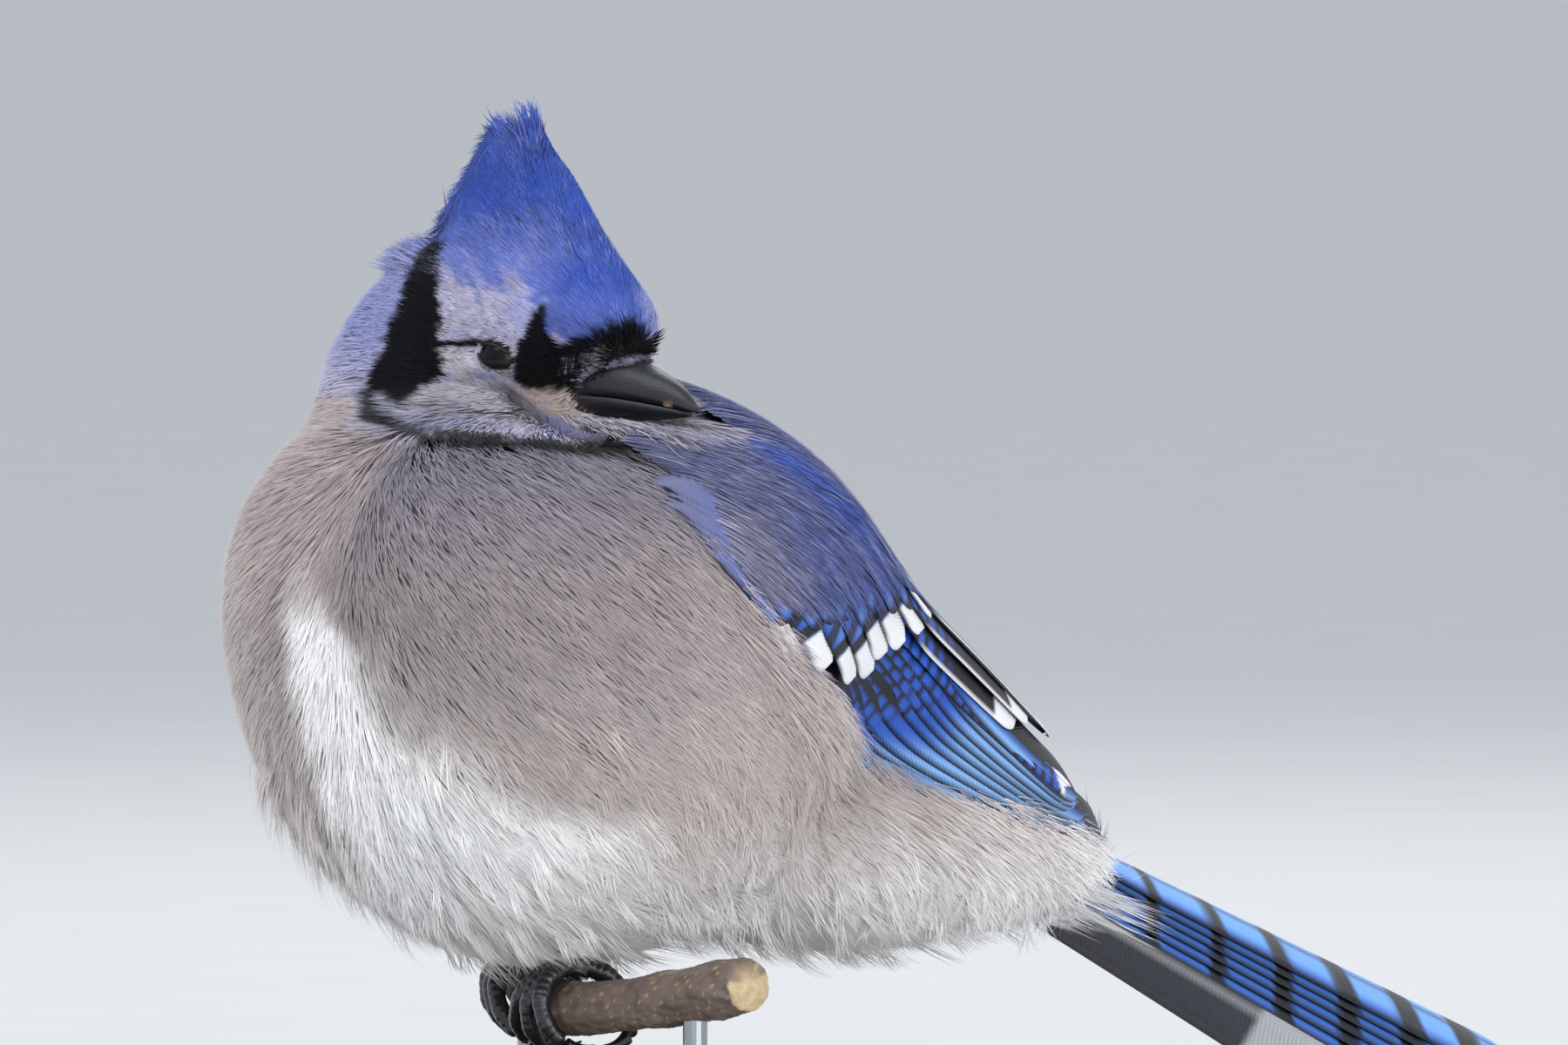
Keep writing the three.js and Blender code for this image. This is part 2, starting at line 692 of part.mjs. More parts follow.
// A toe curls round the twig between two angles while it drifts along it.
function toePath(x0, x1, turn0, turn1, steps) {
  const points = [];
  for (let i = 0; i <= steps; i++) {
    const s = i / steps;
    const lift = 1.2 * Math.sin(Math.PI * s) ** 2;
    points.push(roundTwig(lerp(x0, x1, s), lerp(turn0, turn1, s), TOE_RING + 0.35 * lift));
  }
  return points;
}

const TOES = [
  { name: "inner", drift: -9, from: 80, to: -52 },
  { name: "middle", drift: -3, from: 80, to: -62 },
  { name: "outer", drift: 3.5, from: 80, to: -50 },
  { name: "hind", drift: 8, from: 100, to: 222 },
];

function toe(x, side, { drift, from, to }) {
  const points = toePath(x, x + side * drift, from, to, 7);
  const radii = points.map((p, i) => TOE_RADIUS * (i % 2 ? 0.92 : 1.04) * lerp(1.05, 0.8, i / 7));
  return bar(points, radii, 6);
}

function claw(x, side, { drift, from, to }) {
  const turn = Math.sign(to - from);
  const along = x + side * drift;
  const start = to + turn * 8.5;
  const points = [0, 1, 2, 3].map((i) =>
    roundTwig(along + side * 0.1 * i, start + turn * 15 * i, TOE_RING - 0.28 * i),
  );
  return bar(points, [1.15, 1.0, 0.65, 0.2], 7);
}

function foot(x, side) {
  const top = roundTwig(x, 90, TOE_RING + 0.6);
  const palm = bodyOf((p) => p.distanceTo(top) - 3.1, top, new THREE.Vector3(0, 0, 1), 8, 10);
  return joined([palm, ...TOES.map((one) => toe(x, side, one))]);
}

function legPath(x) {
  const ankle = roundTwig(x, 90, TOE_RING + 5);
  return [ankle, ankle.clone().add(new THREE.Vector3(0, 7, 14))];
}

// Twig and stand.

function twig() {
  const steps = 12;
  const points = [];
  const radii = [];
  for (let i = 0; i <= steps; i++) {
    points.push(TWIG.getPoint(i / steps));
    radii.push(TWIG_RADIUS * (1 + 0.04 * Math.sin(2.4 * i)) * lerp(0.94, 1.02, i / steps));
  }
  return bar(points, radii, 12);
}

function standBase() {
  const half = (grow, z) => {
    const ring = [];
    for (let j = 0; j < 40; j++) {
      const turn = (2 * Math.PI * j) / 40;
      const cut = 0.22;
      const round = (c) => Math.sign(c) * Math.abs(c) ** cut;
      ring.push(
        new THREE.Vector3(
          (BASE.wide / 2 + grow) * round(Math.cos(turn)),
          (BASE.deep / 2 + grow) * round(Math.sin(turn)),
          z - PERCH_HEIGHT,
        ),
      );
    }
    return ring;
  };
  return ringBody([half(0, 0), half(0, BASE.high - BASE.edge), half(-BASE.edge, BASE.high)]);
}

function standRod(x) {
  const top = twigAt(x);
  const foot = new THREE.Vector3(top.x, top.y, BASE.high + GAP - PERCH_HEIGHT);
  return bar([foot, top], [ROD_RADIUS, ROD_RADIUS], 16);
}

// Looks.

function plain(color, roughness = 0.8, metalness = 0) {
  return new THREE.MeshStandardMaterial({ color, roughness, metalness });
}

const COLORS = {
  breast: "#9b9499",
  crown: "#4e6ac6",
  nape: "#8f92bf",
  wing: "#3d6bc4",
  tail: "#5b90e0",
  bill: "#2c2e36",
  eye: "#1a1214",
  foot: "#1c1d22",
  bark: "#7d6f6b",
  stand: "#3a3d42",
};

const group = new THREE.Group();
group.name = "blue_jay";

function place(name, body, color, roughness, metalness) {
  const mesh = body.getMesh();
  const geometry = new THREE.BufferGeometry();
  const points = Float32Array.from(mesh.vertProperties);
  geometry.setAttribute("position", new THREE.BufferAttribute(points, 3));
  geometry.setIndex(new THREE.BufferAttribute(Uint32Array.from(mesh.triVerts), 1));
  geometry.translate(0, 0, PERCH_HEIGHT);
  geometry.computeVertexNormals();
  const made = new THREE.Mesh(geometry, plain(color, roughness, metalness));
  made.name = name;
  group.add(made);
  return body;
}

// Assembly: each form is cut clear of its neighbours by the gap.

const tailFan = tail();
const billRoom = billBody(true, GAP).add(billBody(false, GAP));
const headRoom = headBody(GAP).add(billRoom);
const wingWhole = leftWing();
const clearOf = (wing) => largest(wing.subtract(tailBlock(GAP)).subtract(headRoom));

// A block round the root of the tail that keeps wings and torso clear of it.
function tailBlock(grow) {
  const ring = (along) => {
    const half = lerp(9, 20, along / TAIL_LENGTH) + 6 + grow;
    const drop = TAIL_ARCH * half ** 1.5;
    return [
      tailPoint(along, -half, 3.4 - drop + grow),
      tailPoint(along, -half / 2, 3.4 - 0.35 * drop + grow),
      tailPoint(along, 0, 3.4 + grow),
      tailPoint(along, half / 2, 3.4 - 0.35 * drop + grow),
      tailPoint(along, half, 3.4 - drop + grow),
      tailPoint(along, half, -drop - 9 - grow),
      tailPoint(along, 0, -12 - grow),
      tailPoint(along, -half, -drop - 9 - grow),
    ];
  };
  return ringBody([ring(-8 - grow), ring(60), ring(TAIL_LENGTH)]);
}

// The torso ends ahead of the wing tips, above the vent.
function rumpEnd() {
  const corners = [[-1, 0], [1, 0], [1, 1], [-1, 1]];
  const ring = (y) =>
    corners.map(([x, z]) => new THREE.Vector3(RUMP_CUT.half * x, y, lerp(RUMP_CUT.low, RUMP_CUT.high, z)));
  return ringBody([ring(RUMP_CUT.from), ring(RUMP_CUT.to)]);
}

const room = wingRoom();
const bothRooms = room.add(mirrored(room));
const dent = bodyOf((p) => headEllipsoid(inHead(p), BILL_DENT), headPoint(20, -7, 0), HEAD_UP, 12, 18);
const legs = [-1, 1].map((side) => ({ side, x: side > 0 ? 12.5 : -9 }));
const legSolid = (x, grow) => {
  const [low, high] = legPath(x);
  return bar([low, high], [2 + grow, 2.4 + grow], 10);
};
const legRoom = (x) => {
  const [low, high] = legPath(x);
  const away = high.clone().sub(low).normalize();
  return bar(
    [low.clone().addScaledVector(away, -9), high.clone().addScaledVector(away, GAP)],
    [2.4 + GAP, 2.4 + GAP],
    10,
  );
};

let torso = joined([torsoBody(0), ...fringe()]).subtract(bothRooms).subtract(dent);
torso = torso.subtract(neckBody(GAP)).subtract(headBody(GAP)).subtract(billRoom);
for (const side of [-1, 1])
  torso = torso.subtract(ball(eyeCentre(side), EYE_RADIUS + 1.1 + GAP, 10, 18));
torso = torso.subtract(tailBlock(GAP)).subtract(rumpEnd());
for (const leg of legs) torso = torso.subtract(legRoom(leg.x));
const feetRoom = joined([twig(), ...legs.map(({ x, side }) => foot(x, side))].map((b) => grown(b, 0.4)));
torso = torso.subtract(feetRoom);
place("torso", largest(torso), COLORS.breast);

let head = joined([headBody(0), ...nostrilPlumes()]).subtract(billRoom);
for (const side of [-1, 1]) {
  head = head.subtract(ball(eyeCentre(side), EYE_RADIUS + GAP, 10, 18));
  head = head.add(lids(side));
  place(side > 0 ? "eye_left" : "eye_right", ball(eyeCentre(side), EYE_RADIUS, 9, 16), COLORS.eye, 0.1);
}
place("head", largest(head), COLORS.nape);
let neck = neckBody(0).subtract(headBody(GAP)).subtract(billRoom).subtract(dent).subtract(bothRooms);
for (const side of [-1, 1])
  neck = neck.subtract(ball(eyeCentre(side), EYE_RADIUS + 1.1 + GAP, 10, 18));
place("neck", largest(neck), COLORS.nape);
const crown = crest().subtract(headBody(GAP)).subtract(neckBody(GAP));
place("crest", largest(crown), COLORS.crown);
place("bill_upper", billBody(true, 0), COLORS.bill, 0.35);
place("bill_lower", billBody(false, 0), COLORS.bill, 0.35);

place("wing_left", clearOf(wingWhole), COLORS.wing, 0.55);
place("wing_right", clearOf(mirrored(wingWhole)), COLORS.wing, 0.55);
place("tail", largest(tailFan), COLORS.tail, 0.55);

for (const { side, x } of legs) {
  const name = side > 0 ? "left" : "right";
  place("leg_" + name, legSolid(x, 0), COLORS.foot, 0.6);
  place("foot_" + name, largest(foot(x, side)), COLORS.foot, 0.5);
  for (const one of TOES) place("claw_" + name + "_" + one.name, claw(x, side, one), COLORS.foot, 0.3);
}

place("perch_twig", twig(), COLORS.bark, 0.9);
place("stand_base", standBase(), COLORS.stand, 0.5);
ROD_X.forEach((x, i) => {
  place("stand_rod_" + (i + 1), standRod(x).subtract(twig()), COLORS.stand, 0.35, 0.6);
});

export default group;
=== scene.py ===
"""A fluffed-up blue jay on a cut twig over a display stand.

Shapes are worked out in millimetres with the perch at height zero, the bird facing -Y and
its left side at +X. The head has axes of its own: forward, left, up from between the eyes.
"""

import bpy
import numpy as np
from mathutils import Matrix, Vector


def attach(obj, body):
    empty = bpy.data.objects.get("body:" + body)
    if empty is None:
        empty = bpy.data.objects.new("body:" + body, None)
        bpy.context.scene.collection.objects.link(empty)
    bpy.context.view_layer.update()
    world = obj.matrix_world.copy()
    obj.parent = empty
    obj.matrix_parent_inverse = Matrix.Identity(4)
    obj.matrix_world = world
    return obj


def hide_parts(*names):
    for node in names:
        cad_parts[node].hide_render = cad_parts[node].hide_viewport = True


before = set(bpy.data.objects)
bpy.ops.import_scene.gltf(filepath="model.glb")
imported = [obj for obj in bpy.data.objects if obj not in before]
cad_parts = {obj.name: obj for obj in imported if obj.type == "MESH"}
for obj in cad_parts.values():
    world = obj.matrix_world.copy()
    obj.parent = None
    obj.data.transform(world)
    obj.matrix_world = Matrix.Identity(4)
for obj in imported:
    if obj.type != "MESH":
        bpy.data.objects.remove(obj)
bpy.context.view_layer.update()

PERCH_HEIGHT = 42.0
GAP = 0.3
random = np.random.default_rng(7)


# Small helpers.


def unit(v):
    """A vector divided by its length."""
    return v / (np.linalg.norm(v, axis=-1, keepdims=True) + 1e-12)


def mix(a, b, t):
    """A straight blend from a to b."""
    return a * (1 - t) + b * t


def soft(x, low, high):
    """An S-shaped rise from 0 at low to 1 at high."""
    t = np.clip((x - low) / (high - low), 0, 1)
    return t * t * (3 - 2 * t)


def between(x, low, high, edge):
    """One inside a band, falling to nothing over the edge width on both sides."""
    return soft(x, low - edge, low + edge) * (1 - soft(x, high - edge, high + edge))


def tint(code):
    """A colour written as a hex code, as linear light."""
    c = np.array([int(code[i : i + 2], 16) / 255 for i in (1, 3, 5)])
    return np.where(c <= 0.04045, c / 12.92, ((c + 0.055) / 1.055) ** 2.4)


def grain(p, size, seed=0):
    """Smooth noise in -1..1: four crossed sine waves bent by each other."""
    q = p / size
    a = np.sin(1.7 * q[..., 0] + 2.3 * q[..., 1] + 1.1 * q[..., 2] + seed)
    b = np.sin(-2.1 * q[..., 0] + 1.3 * q[..., 1] + 2.6 * q[..., 2] + 2 * seed + 1.5 * a)
    c = np.sin(2.9 * q[..., 2] - 1.9 * q[..., 1] + 0.7 * q[..., 0] + 3 * seed + 1.3 * b)
    return (a + b + c) / 3


# Forms of the body, the same sizes as the solids: centre, radii, pitch about X, yaw about Z, and
# a radius of its own below the centre.
BALL = dict(at=(0, -7.5, 61), r=(53.5, 53.5, 38), low=60)
CHEST = dict(at=(0, -20, 72), r=(40, 36, 25))
VENT = dict(at=(0, 50, 22), r=(34, 50, 20.5), pitch=4)
RUMP = dict(at=(0, 34, 44), r=(30, 46, 19), pitch=36)
FOLDED_WING = dict(at=(21, 46, 45.5), r=(15, 62, 14), pitch=35, yaw=-7)
SKULL = dict(at=(-4, 0, 3), r=(17, 14, 14))
BROW = dict(at=(10, 0, 6), r=(10.5, 9, 8.5))
CHIN = dict(at=(4, 0, -11), r=(13, 9, 6))
CROWN = dict(at=(-7, 0, 12), r=(17, 7, 9), pitch=10)
NAPE = dict(at=(-15, 0, 3), r=(17, 14.5, 15))
RUFF = dict(at=(-21, 0, -12), r=(22, 21, 24))

HEAD_TURN = np.radians(100)
HEAD_DIP = np.radians(6)
HEAD_AT = np.array([5.6, -12, 101])
FLAT_FORWARD = np.array([np.sin(HEAD_TURN), -np.cos(HEAD_TURN), 0])
FORWARD = FLAT_FORWARD * np.cos(HEAD_DIP) - np.array([0, 0, np.sin(HEAD_DIP)])
LEFT = np.array([np.cos(HEAD_TURN), np.sin(HEAD_TURN), 0])
UP = np.cross(FORWARD, LEFT)
HEAD_AXES = np.stack([FORWARD, LEFT, UP])

# The dent in the breast's down where the bill rests, in head axes.
BILL_DENT = dict(at=(22, -7, 0), r=(21, 17, 10.2))

# A crease in the down, from beside the throat down the breast.
CREASE = np.array([[10.8, -50.5, 86.3], [8.1, -55.6, 80.7], [7.8, -59.2, 72.3], [8.2, -60.6, 62.5]])
CREASE_DEEP, CREASE_WIDE = 2.8, 2.8

# The bill in head axes: its top, mouth line, underside and half width at distances forward.
BILL_ALONG = [7, 12, 18.4, 24, 28, 31, 33]
CULMEN = [3.4, 3.3, 2.3, 0.75, -0.6, -2.5, -4.6]
MOUTH = [-4.6, -4.3, -4.1, -4.3, -4.6, -4.9, -5.2]
KEEL = [-9, -8.6, -8, -7.4, -6.7, -6, -5.6]
BILL_HALF = [6.2, 5.6, 4.7, 3.5, 2.4, 1.3, 0.4]

# The skin is mapped by the rays that run out from this point inside the breast.
HEART = np.array([0, -8.0, 70])


def ellipsoid(p, at, r, pitch=0, yaw=0, low=None):
    """About the distance to an ellipsoid: k(k - 1) over the gradient of its scaled radius k."""
    q = p - np.array(at, float)
    x, y, z = q[..., 0], q[..., 1], q[..., 2]
    if yaw:
        c, s = np.cos(np.radians(yaw)), np.sin(np.radians(yaw))
        x, y = x * c - y * s, x * s + y * c
    if pitch:
        c, s = np.cos(np.radians(pitch)), np.sin(np.radians(pitch))
        y, z = y * c - z * s, y * s + z * c
    rz = np.where(z < 0, low or r[2], r[2])
    k = np.sqrt((x / r[0]) ** 2 + (y / r[1]) ** 2 + (z / rz) ** 2)
    g = np.sqrt((x / r[0] ** 2) ** 2 + (y / r[1] ** 2) ** 2 + (z / rz**2) ** 2) + 1e-9
    return k * (k - 1) / g


def blend(a, b, k):
    """The smaller of two distances with a fillet about k wide."""
    h = np.clip(0.5 + 0.5 * (b - a) / k, 0, 1)
    return b * (1 - h) + a * h - k * h * (1 - h)


def in_head(p):
    """A place on the bird, in head axes."""
    return (p - HEAD_AT) @ HEAD_AXES.T


def head_point(forward, left, up):
    """A place given in head axes, as a place on the bird."""
    parts = np.broadcast_arrays(forward, left, up)
    return HEAD_AT + np.stack(parts, -1) @ HEAD_AXES


def head_form(q, at, r, pitch=0):
    """An ellipsoid of the head, its centre and radii given forward, left and up."""
    turned = np.stack([q[..., 1], q[..., 0], q[..., 2]], -1)
    return ellipsoid(turned, (at[1], at[0], at[2]), (r[1], r[0], r[2]), -pitch)


def torso_field(p):
    """Breast, belly and rump run into one another."""
    front = blend(ellipsoid(p, **BALL), ellipsoid(p, **CHEST), 8)
    return blend(blend(front, ellipsoid(p, **VENT), 10), ellipsoid(p, **RUMP), 10)


def wing_field(p):
    """The torso with the left wing folded on it."""
    return blend(torso_field(p), ellipsoid(p, **FOLDED_WING), 12)


# Crest outline in head axes: its front and rear edge by height, and its half width at foot and tip.
CREST_UP = [8, 9.3, 14, 19.4, 23.7, 29.4, 34, 40]
CREST_FRONT = [18.6, 17.8, 15.2, 10.8, 7.0, 1.8, -3.4, -7.6]
CREST_REAR = [-18, -19, -22.6, -24.2, -22.4, -19.4, -17, -13.6]
CREST_LOW, CREST_HIGH = 8.0, 40.0
CREST_FOOT, CREST_TIP = 9.0, 1.6
BLADE_MIDDLE, BLADE_HALF = 23.8, 16.0


def crest_field(q):
    """An upright blade, an ellipse in plan whose ends follow the crest's front and rear edge."""
    u = q[..., 2]
    t = np.clip((u - CREST_LOW) / (CREST_HIGH - CREST_LOW), 0, 1)
    front = np.interp(u, CREST_UP, CREST_FRONT)
    rear = np.interp(u, CREST_UP, CREST_REAR)
    wide = mix(CREST_FOOT, CREST_TIP, t**0.8)
    middle, long = (front + rear) / 2, (front - rear) / 2
    x, y = q[..., 0] - middle, q[..., 1]
    k = np.sqrt((x / long) ** 2 + (y / wide) ** 2)
    g = np.sqrt((x / long**2) ** 2 + (y / wide**2) ** 2) + 1e-9
    return np.maximum(k * (k - 1) / g, np.abs(u - BLADE_MIDDLE) - BLADE_HALF)


def crease_reach(p):
    """How far a place lies from the crease's bent line."""
    best = np.full(p.shape[:-1], 1e9)
    for a, b in zip(CREASE[:-1], CREASE[1:]):
        t = np.clip(((p - a) @ (b - a)) / ((b - a) @ (b - a)), 0, 1)
        best = np.minimum(best, np.linalg.norm(p - a - t[..., None] * (b - a), axis=-1))
    return best


def bird_field(p):
    """The whole coat's outline: all forms run into one another."""
    q = in_head(p)
    face = blend(head_form(q, **SKULL), head_form(q, **BROW), 5)
    face = blend(blend(face, head_form(q, **CHIN), 9), head_form(q, **CROWN), 6)
    face = blend(face, crest_field(q), 4)
    neck = blend(head_form(q, **RUFF), head_form(q, **NAPE), 8)
    other = p * np.array([-1, 1, 1])
    body = blend(wing_field(p), ellipsoid(other, **FOLDED_WING), 12)
    body = blend(body, neck, 6)
    body = -blend(-body, head_form(q, **BILL_DENT), 3)
    body = body + CREASE_DEEP * np.exp(-((crease_reach(p) / CREASE_WIDE) ** 2))
    return blend(body, face, 3)


FACE_COAT, BODY_COAT = 1.1, 3.2


def coat_depth(p):
    """How far the skin lies inside the coat: thin on the face, deep on the body."""
    far = np.linalg.norm(p - head_point(4, 0, 2), axis=-1)
    return mix(FACE_COAT, BODY_COAT, soft(far, 15, 42))


def skin_field(p):
    """The distance to the skin under the coat."""
    return bird_field(p) + coat_depth(p)


def edge_along(field, start, direction, reach=150, steps=22):
    """Where rays from start leave a form, by halving the span again and again."""
    low = np.zeros(direction.shape[:-1])
    high = np.full(direction.shape[:-1], float(reach))
    for _ in range(steps):
        half = (low + high) / 2
        inside = field(start + direction * half[..., None]) < 0
        low, high = np.where(inside, half, low), np.where(inside, high, half)
    return start + direction * low[..., None]


def normal_of(field, p, step=0.4):
    """The way out of a form: the slope of its distance along X, Y and Z."""
    shifts = np.eye(3) * step
    return unit(np.stack([field(p + d) - field(p - d) for d in shifts], -1))


def skin_ray(turn, rise):
    """A direction from the heart: turn round the X axis, rise from it; the flanks are the poles."""
    parts = [np.cos(rise), np.sin(rise) * np.cos(turn), np.sin(rise) * np.sin(turn)]
    return np.stack(parts, -1)


RAY_ROWS, RAY_COLS = 166, 246
RAY_RISE = np.linspace(0, np.pi, RAY_ROWS)
RAY_TURN = np.linspace(0, 2 * np.pi, RAY_COLS + 1)


def outer_reach(ray, near=14.0, far=150.0, stations=60):
    """The last place where each ray leaves the skin: marks along it, then halving."""
    marks = np.linspace(near, far, stations)
    last = np.zeros(ray.shape[:-1], int)
    for number, mark in enumerate(marks):
        last = np.where(skin_field(HEART + ray * mark) < 0, number, last)
    low, high = marks[last], marks[np.minimum(last + 1, stations - 1)]
    for _ in range(9):
        half = (low + high) / 2
        inside = skin_field(HEART + ray * half[..., None]) < 0
        low, high = np.where(inside, half, low), np.where(inside, high, half)
    return low


REACH = outer_reach(skin_ray(*np.meshgrid(RAY_TURN, RAY_RISE)))


def on_skin(ray):
    """A place on the skin in a direction from the heart: read off the map, then halved closer."""
    rise = np.arccos(np.clip(ray[..., 0], -1, 1)) / np.pi * (RAY_ROWS - 1)
    turn = np.mod(np.arctan2(ray[..., 2], ray[..., 1]), 2 * np.pi) / (2 * np.pi) * RAY_COLS
    i = np.clip(rise.astype(int), 0, RAY_ROWS - 2)
    j = np.clip(turn.astype(int), 0, RAY_COLS - 1)
    a, b = rise - i, turn - j
    top = mix(REACH[i, j], REACH[i, j + 1], b)
    low = mix(REACH[i + 1, j], REACH[i + 1, j + 1], b)
    reach = mix(top, low, a)
    near, far = reach - 2.0, reach + 2.0
    for _ in range(8):
        half = (near + far) / 2
        inside = skin_field(HEART + ray * half[..., None]) < 0
        near, far = np.where(inside, half, near), np.where(inside, far, half)
    return HEART + ray * ((near + far) / 2)[..., None]


# Meshes.


def add_mesh(name, points, faces, material, colors, uv=None):
    """A piece from arrays: points in mm, faces as one array of corner numbers or a list of such
    arrays, a colour for each point, and maps by name."""
    mesh = bpy.data.meshes.new(name)
    points = np.asarray(points, np.float32).reshape(-1, 3)
    points = (points + np.array([0, 0, PERCH_HEIGHT], np.float32)) * np.float32(0.001)
    groups = faces if isinstance(faces, list) else [faces]
    sizes = np.concatenate([np.full(len(g), g.shape[1], np.int32) for g in groups])
    corners = np.concatenate([g.ravel() for g in groups]).astype(np.int32)
    mesh.vertices.add(len(points))
    mesh.vertices.foreach_set("co", points.ravel())
    mesh.loops.add(len(corners))
    mesh.loops.foreach_set("vertex_index", corners)
    mesh.polygons.add(len(sizes))
    mesh.polygons.foreach_set("loop_start", np.concatenate([[0], np.cumsum(sizes)[:-1]]))
    mesh.update(calc_edges=True)
    mesh.polygons.foreach_set("use_smooth", np.ones(len(sizes), bool))
    layer = mesh.color_attributes.new("tint", "FLOAT_COLOR", "POINT")
    rgba = np.ones((len(points), 4), np.float32)
    rgba[:, :3] = np.asarray(colors, np.float32).reshape(-1, 3)
    layer.data.foreach_set("color", rgba.ravel())
    for label, places in (uv or {}).items():
        layer = mesh.uv_layers.new(name=label)
        layer.data.foreach_set("uv", np.asarray(places, np.float32)[corners].ravel())
    mesh.materials.append(material)
    piece = bpy.data.objects.new(name, mesh)
    bpy.context.collection.objects.link(piece)
    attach(piece, "root")
    return piece


def grid_faces(rows, cols, wrap=False):
    """Four-cornered faces of a grid of points; wrap closes it round its columns."""
    i = np.arange(rows - 1)[:, None]
    j = np.arange(cols if wrap else cols - 1)[None]
    k = (j + 1) % cols
    quad = [i * cols + j, i * cols + k, (i + 1) * cols + k, (i + 1) * cols + j]
    return np.stack([q + 0 * (i + j) for q in quad], -1).reshape(-1, 4)


def closed_faces(rows, cols, inside_out=False):
    """The walls of a grid of rings, and a fan from each end ring to the one point past it."""
    walls = grid_faces(rows, cols, wrap=True)
    j = np.arange(cols)
    k = (j + 1) % cols
    end = (rows - 1) * cols
    first = np.stack([np.full(cols, rows * cols), k, j], -1)
    last = np.stack([np.full(cols, rows * cols + 1), end + j, end + k], -1)
    faces = [walls, np.concatenate([first, last])]
    return [f[:, ::-1] for f in faces] if inside_out else faces


def tube(points, radii, sides):
    """Rings carried along a path, each turned with it, closed at the ends by a point."""
    along = unit(np.gradient(points, axis=0))
    up = np.zeros_like(points)
    guide = np.array([0, 0, 1.0]) if abs(along[0, 2]) < 0.9 else np.array([0, 1.0, 0])
    for i in range(len(points)):
        guide = unit(guide - along[i] * (guide @ along[i]))
        up[i] = guide
    side = np.cross(along, up)
    turn = np.linspace(0, 2 * np.pi, sides, endpoint=False)
    radii = np.asarray(radii, float)
    radii = radii[:, None] if radii.ndim == 1 else radii
    ring = up[:, None] * np.cos(turn)[None, :, None] + side[:, None] * np.sin(turn)[None, :, None]
    body = points[:, None] + ring * radii[..., None]
    everything = np.concatenate([body.reshape(-1, 3), points[:1], points[-1:]])
    return everything, closed_faces(len(points), sides, inside_out=True)


def gather(parts):
    """Several sets of points, walls and end fans as one."""
    starts = np.cumsum([0] + [len(body) for body, _ in parts[:-1]])
    faces = [[f[kind] + start for (_, f), start in zip(parts, starts)] for kind in (0, 1)]
    return np.concatenate([body for body, _ in parts]), [np.concatenate(f) for f in faces]


# Materials.


def shader(name, roughness=0.6, specular=0.4, sheen=0.0, metallic=0.0, coat=0.0):
    """A new material with its surface shader and node tools."""
    material = bpy.data.materials.new(name)
    material.use_nodes = True
    nodes, links = material.node_tree.nodes, material.node_tree.links
    surface = nodes["Principled BSDF"]
    labels = ("Roughness", "Specular IOR Level", "Sheen Weight", "Metallic", "Coat Weight")
    for label, value in zip(labels, (roughness, specular, sheen, metallic, coat)):
        surface.inputs[label].default_value = value
    return material, nodes, links, surface


def noise_on(nodes, links, scale, detail=3.0, stretch=(1, 1, 1)):
    """Noise that reads the object's own coordinates through a stretch."""
    place = nodes.new("ShaderNodeTexCoord")
    mapping = nodes.new("ShaderNodeMapping")
    mapping.inputs["Scale"].default_value = stretch
    texture = nodes.new("ShaderNodeTexNoise")
    texture.inputs["Scale"].default_value = scale
    texture.inputs["Detail"].default_value = detail
    links.new(place.outputs["Object"], mapping.inputs["Vector"])
    links.new(mapping.outputs["Vector"], texture.inputs["Vector"])
    return texture


def bump_from(nodes, links, texture, surface, strength, distance):
    """Relief from a texture, its height in metres."""
    bump = nodes.new("ShaderNodeBump")
    bump.inputs["Strength"].default_value = strength
    bump.inputs["Distance"].default_value = distance
    links.new(texture.outputs["Fac"], bump.inputs["Height"])
    links.new(bump.outputs["Normal"], surface.inputs["Normal"])


def shaded_tint(nodes, links, surface, texture, low, high):
    """The colour painted on the points, made darker and lighter by a texture."""
    painted = nodes.new("ShaderNodeAttribute")
    painted.attribute_name = "tint"
    spread = nodes.new("ShaderNodeMapRange")
    spread.inputs["To Min"].default_value = low
    spread.inputs["To Max"].default_value = high
    links.new(texture.outputs["Fac"], spread.inputs["Value"])
    product = nodes.new("ShaderNodeVectorMath")
    product.operation = "MULTIPLY"
    links.new(painted.outputs["Color"], product.inputs[0])
    links.new(spread.outputs["Result"], product.inputs[1])
    links.new(product.outputs["Vector"], surface.inputs["Base Color"])


def ramp_color(nodes, links, surface, texture, dark, light):
    """The surface's colour run from dark to light by a texture."""
    ramp = nodes.new("ShaderNodeValToRGB")
    for element, color in zip(ramp.color_ramp.elements, (dark, light)):
        element.color = (*color, 1)
    links.new(texture.outputs["Fac"], ramp.inputs["Fac"])
    links.new(ramp.outputs["Color"], surface.inputs["Base Color"])


def plumage_material(name, roughness, sheen, specular=0.25):
    """Soft barbs: the painted tint, clouded finely, with a faint velvet edge."""
    material, nodes, links, surface = shader(name, roughness, specular, sheen)
    cloud = noise_on(nodes, links, 260, 3)
    shaded_tint(nodes, links, surface, cloud, 0.84, 1.16)
    return material


def vane_material(name, roughness, strength):
    """Stiff vanes: the painted tint over slanting barbs that run out from the shaft."""
    material, nodes, links, surface = shader(name, roughness, 0.45)
    place = nodes.new("ShaderNodeUVMap")
    place.uv_map = "vane"
    barbs = nodes.new("ShaderNodeTexWave")
    barbs.bands_direction = "X"
    for label, value in (("Scale", 7.0), ("Distortion", 1.4), ("Detail", 2.0), ("Detail Scale", 1.5)):
        barbs.inputs[label].default_value = value
    links.new(place.outputs["UV"], barbs.inputs["Vector"])
    shaded_tint(nodes, links, surface, barbs, 0.86, 1.1)
    bump_from(nodes, links, barbs, surface, strength, 0.0001)
    return material


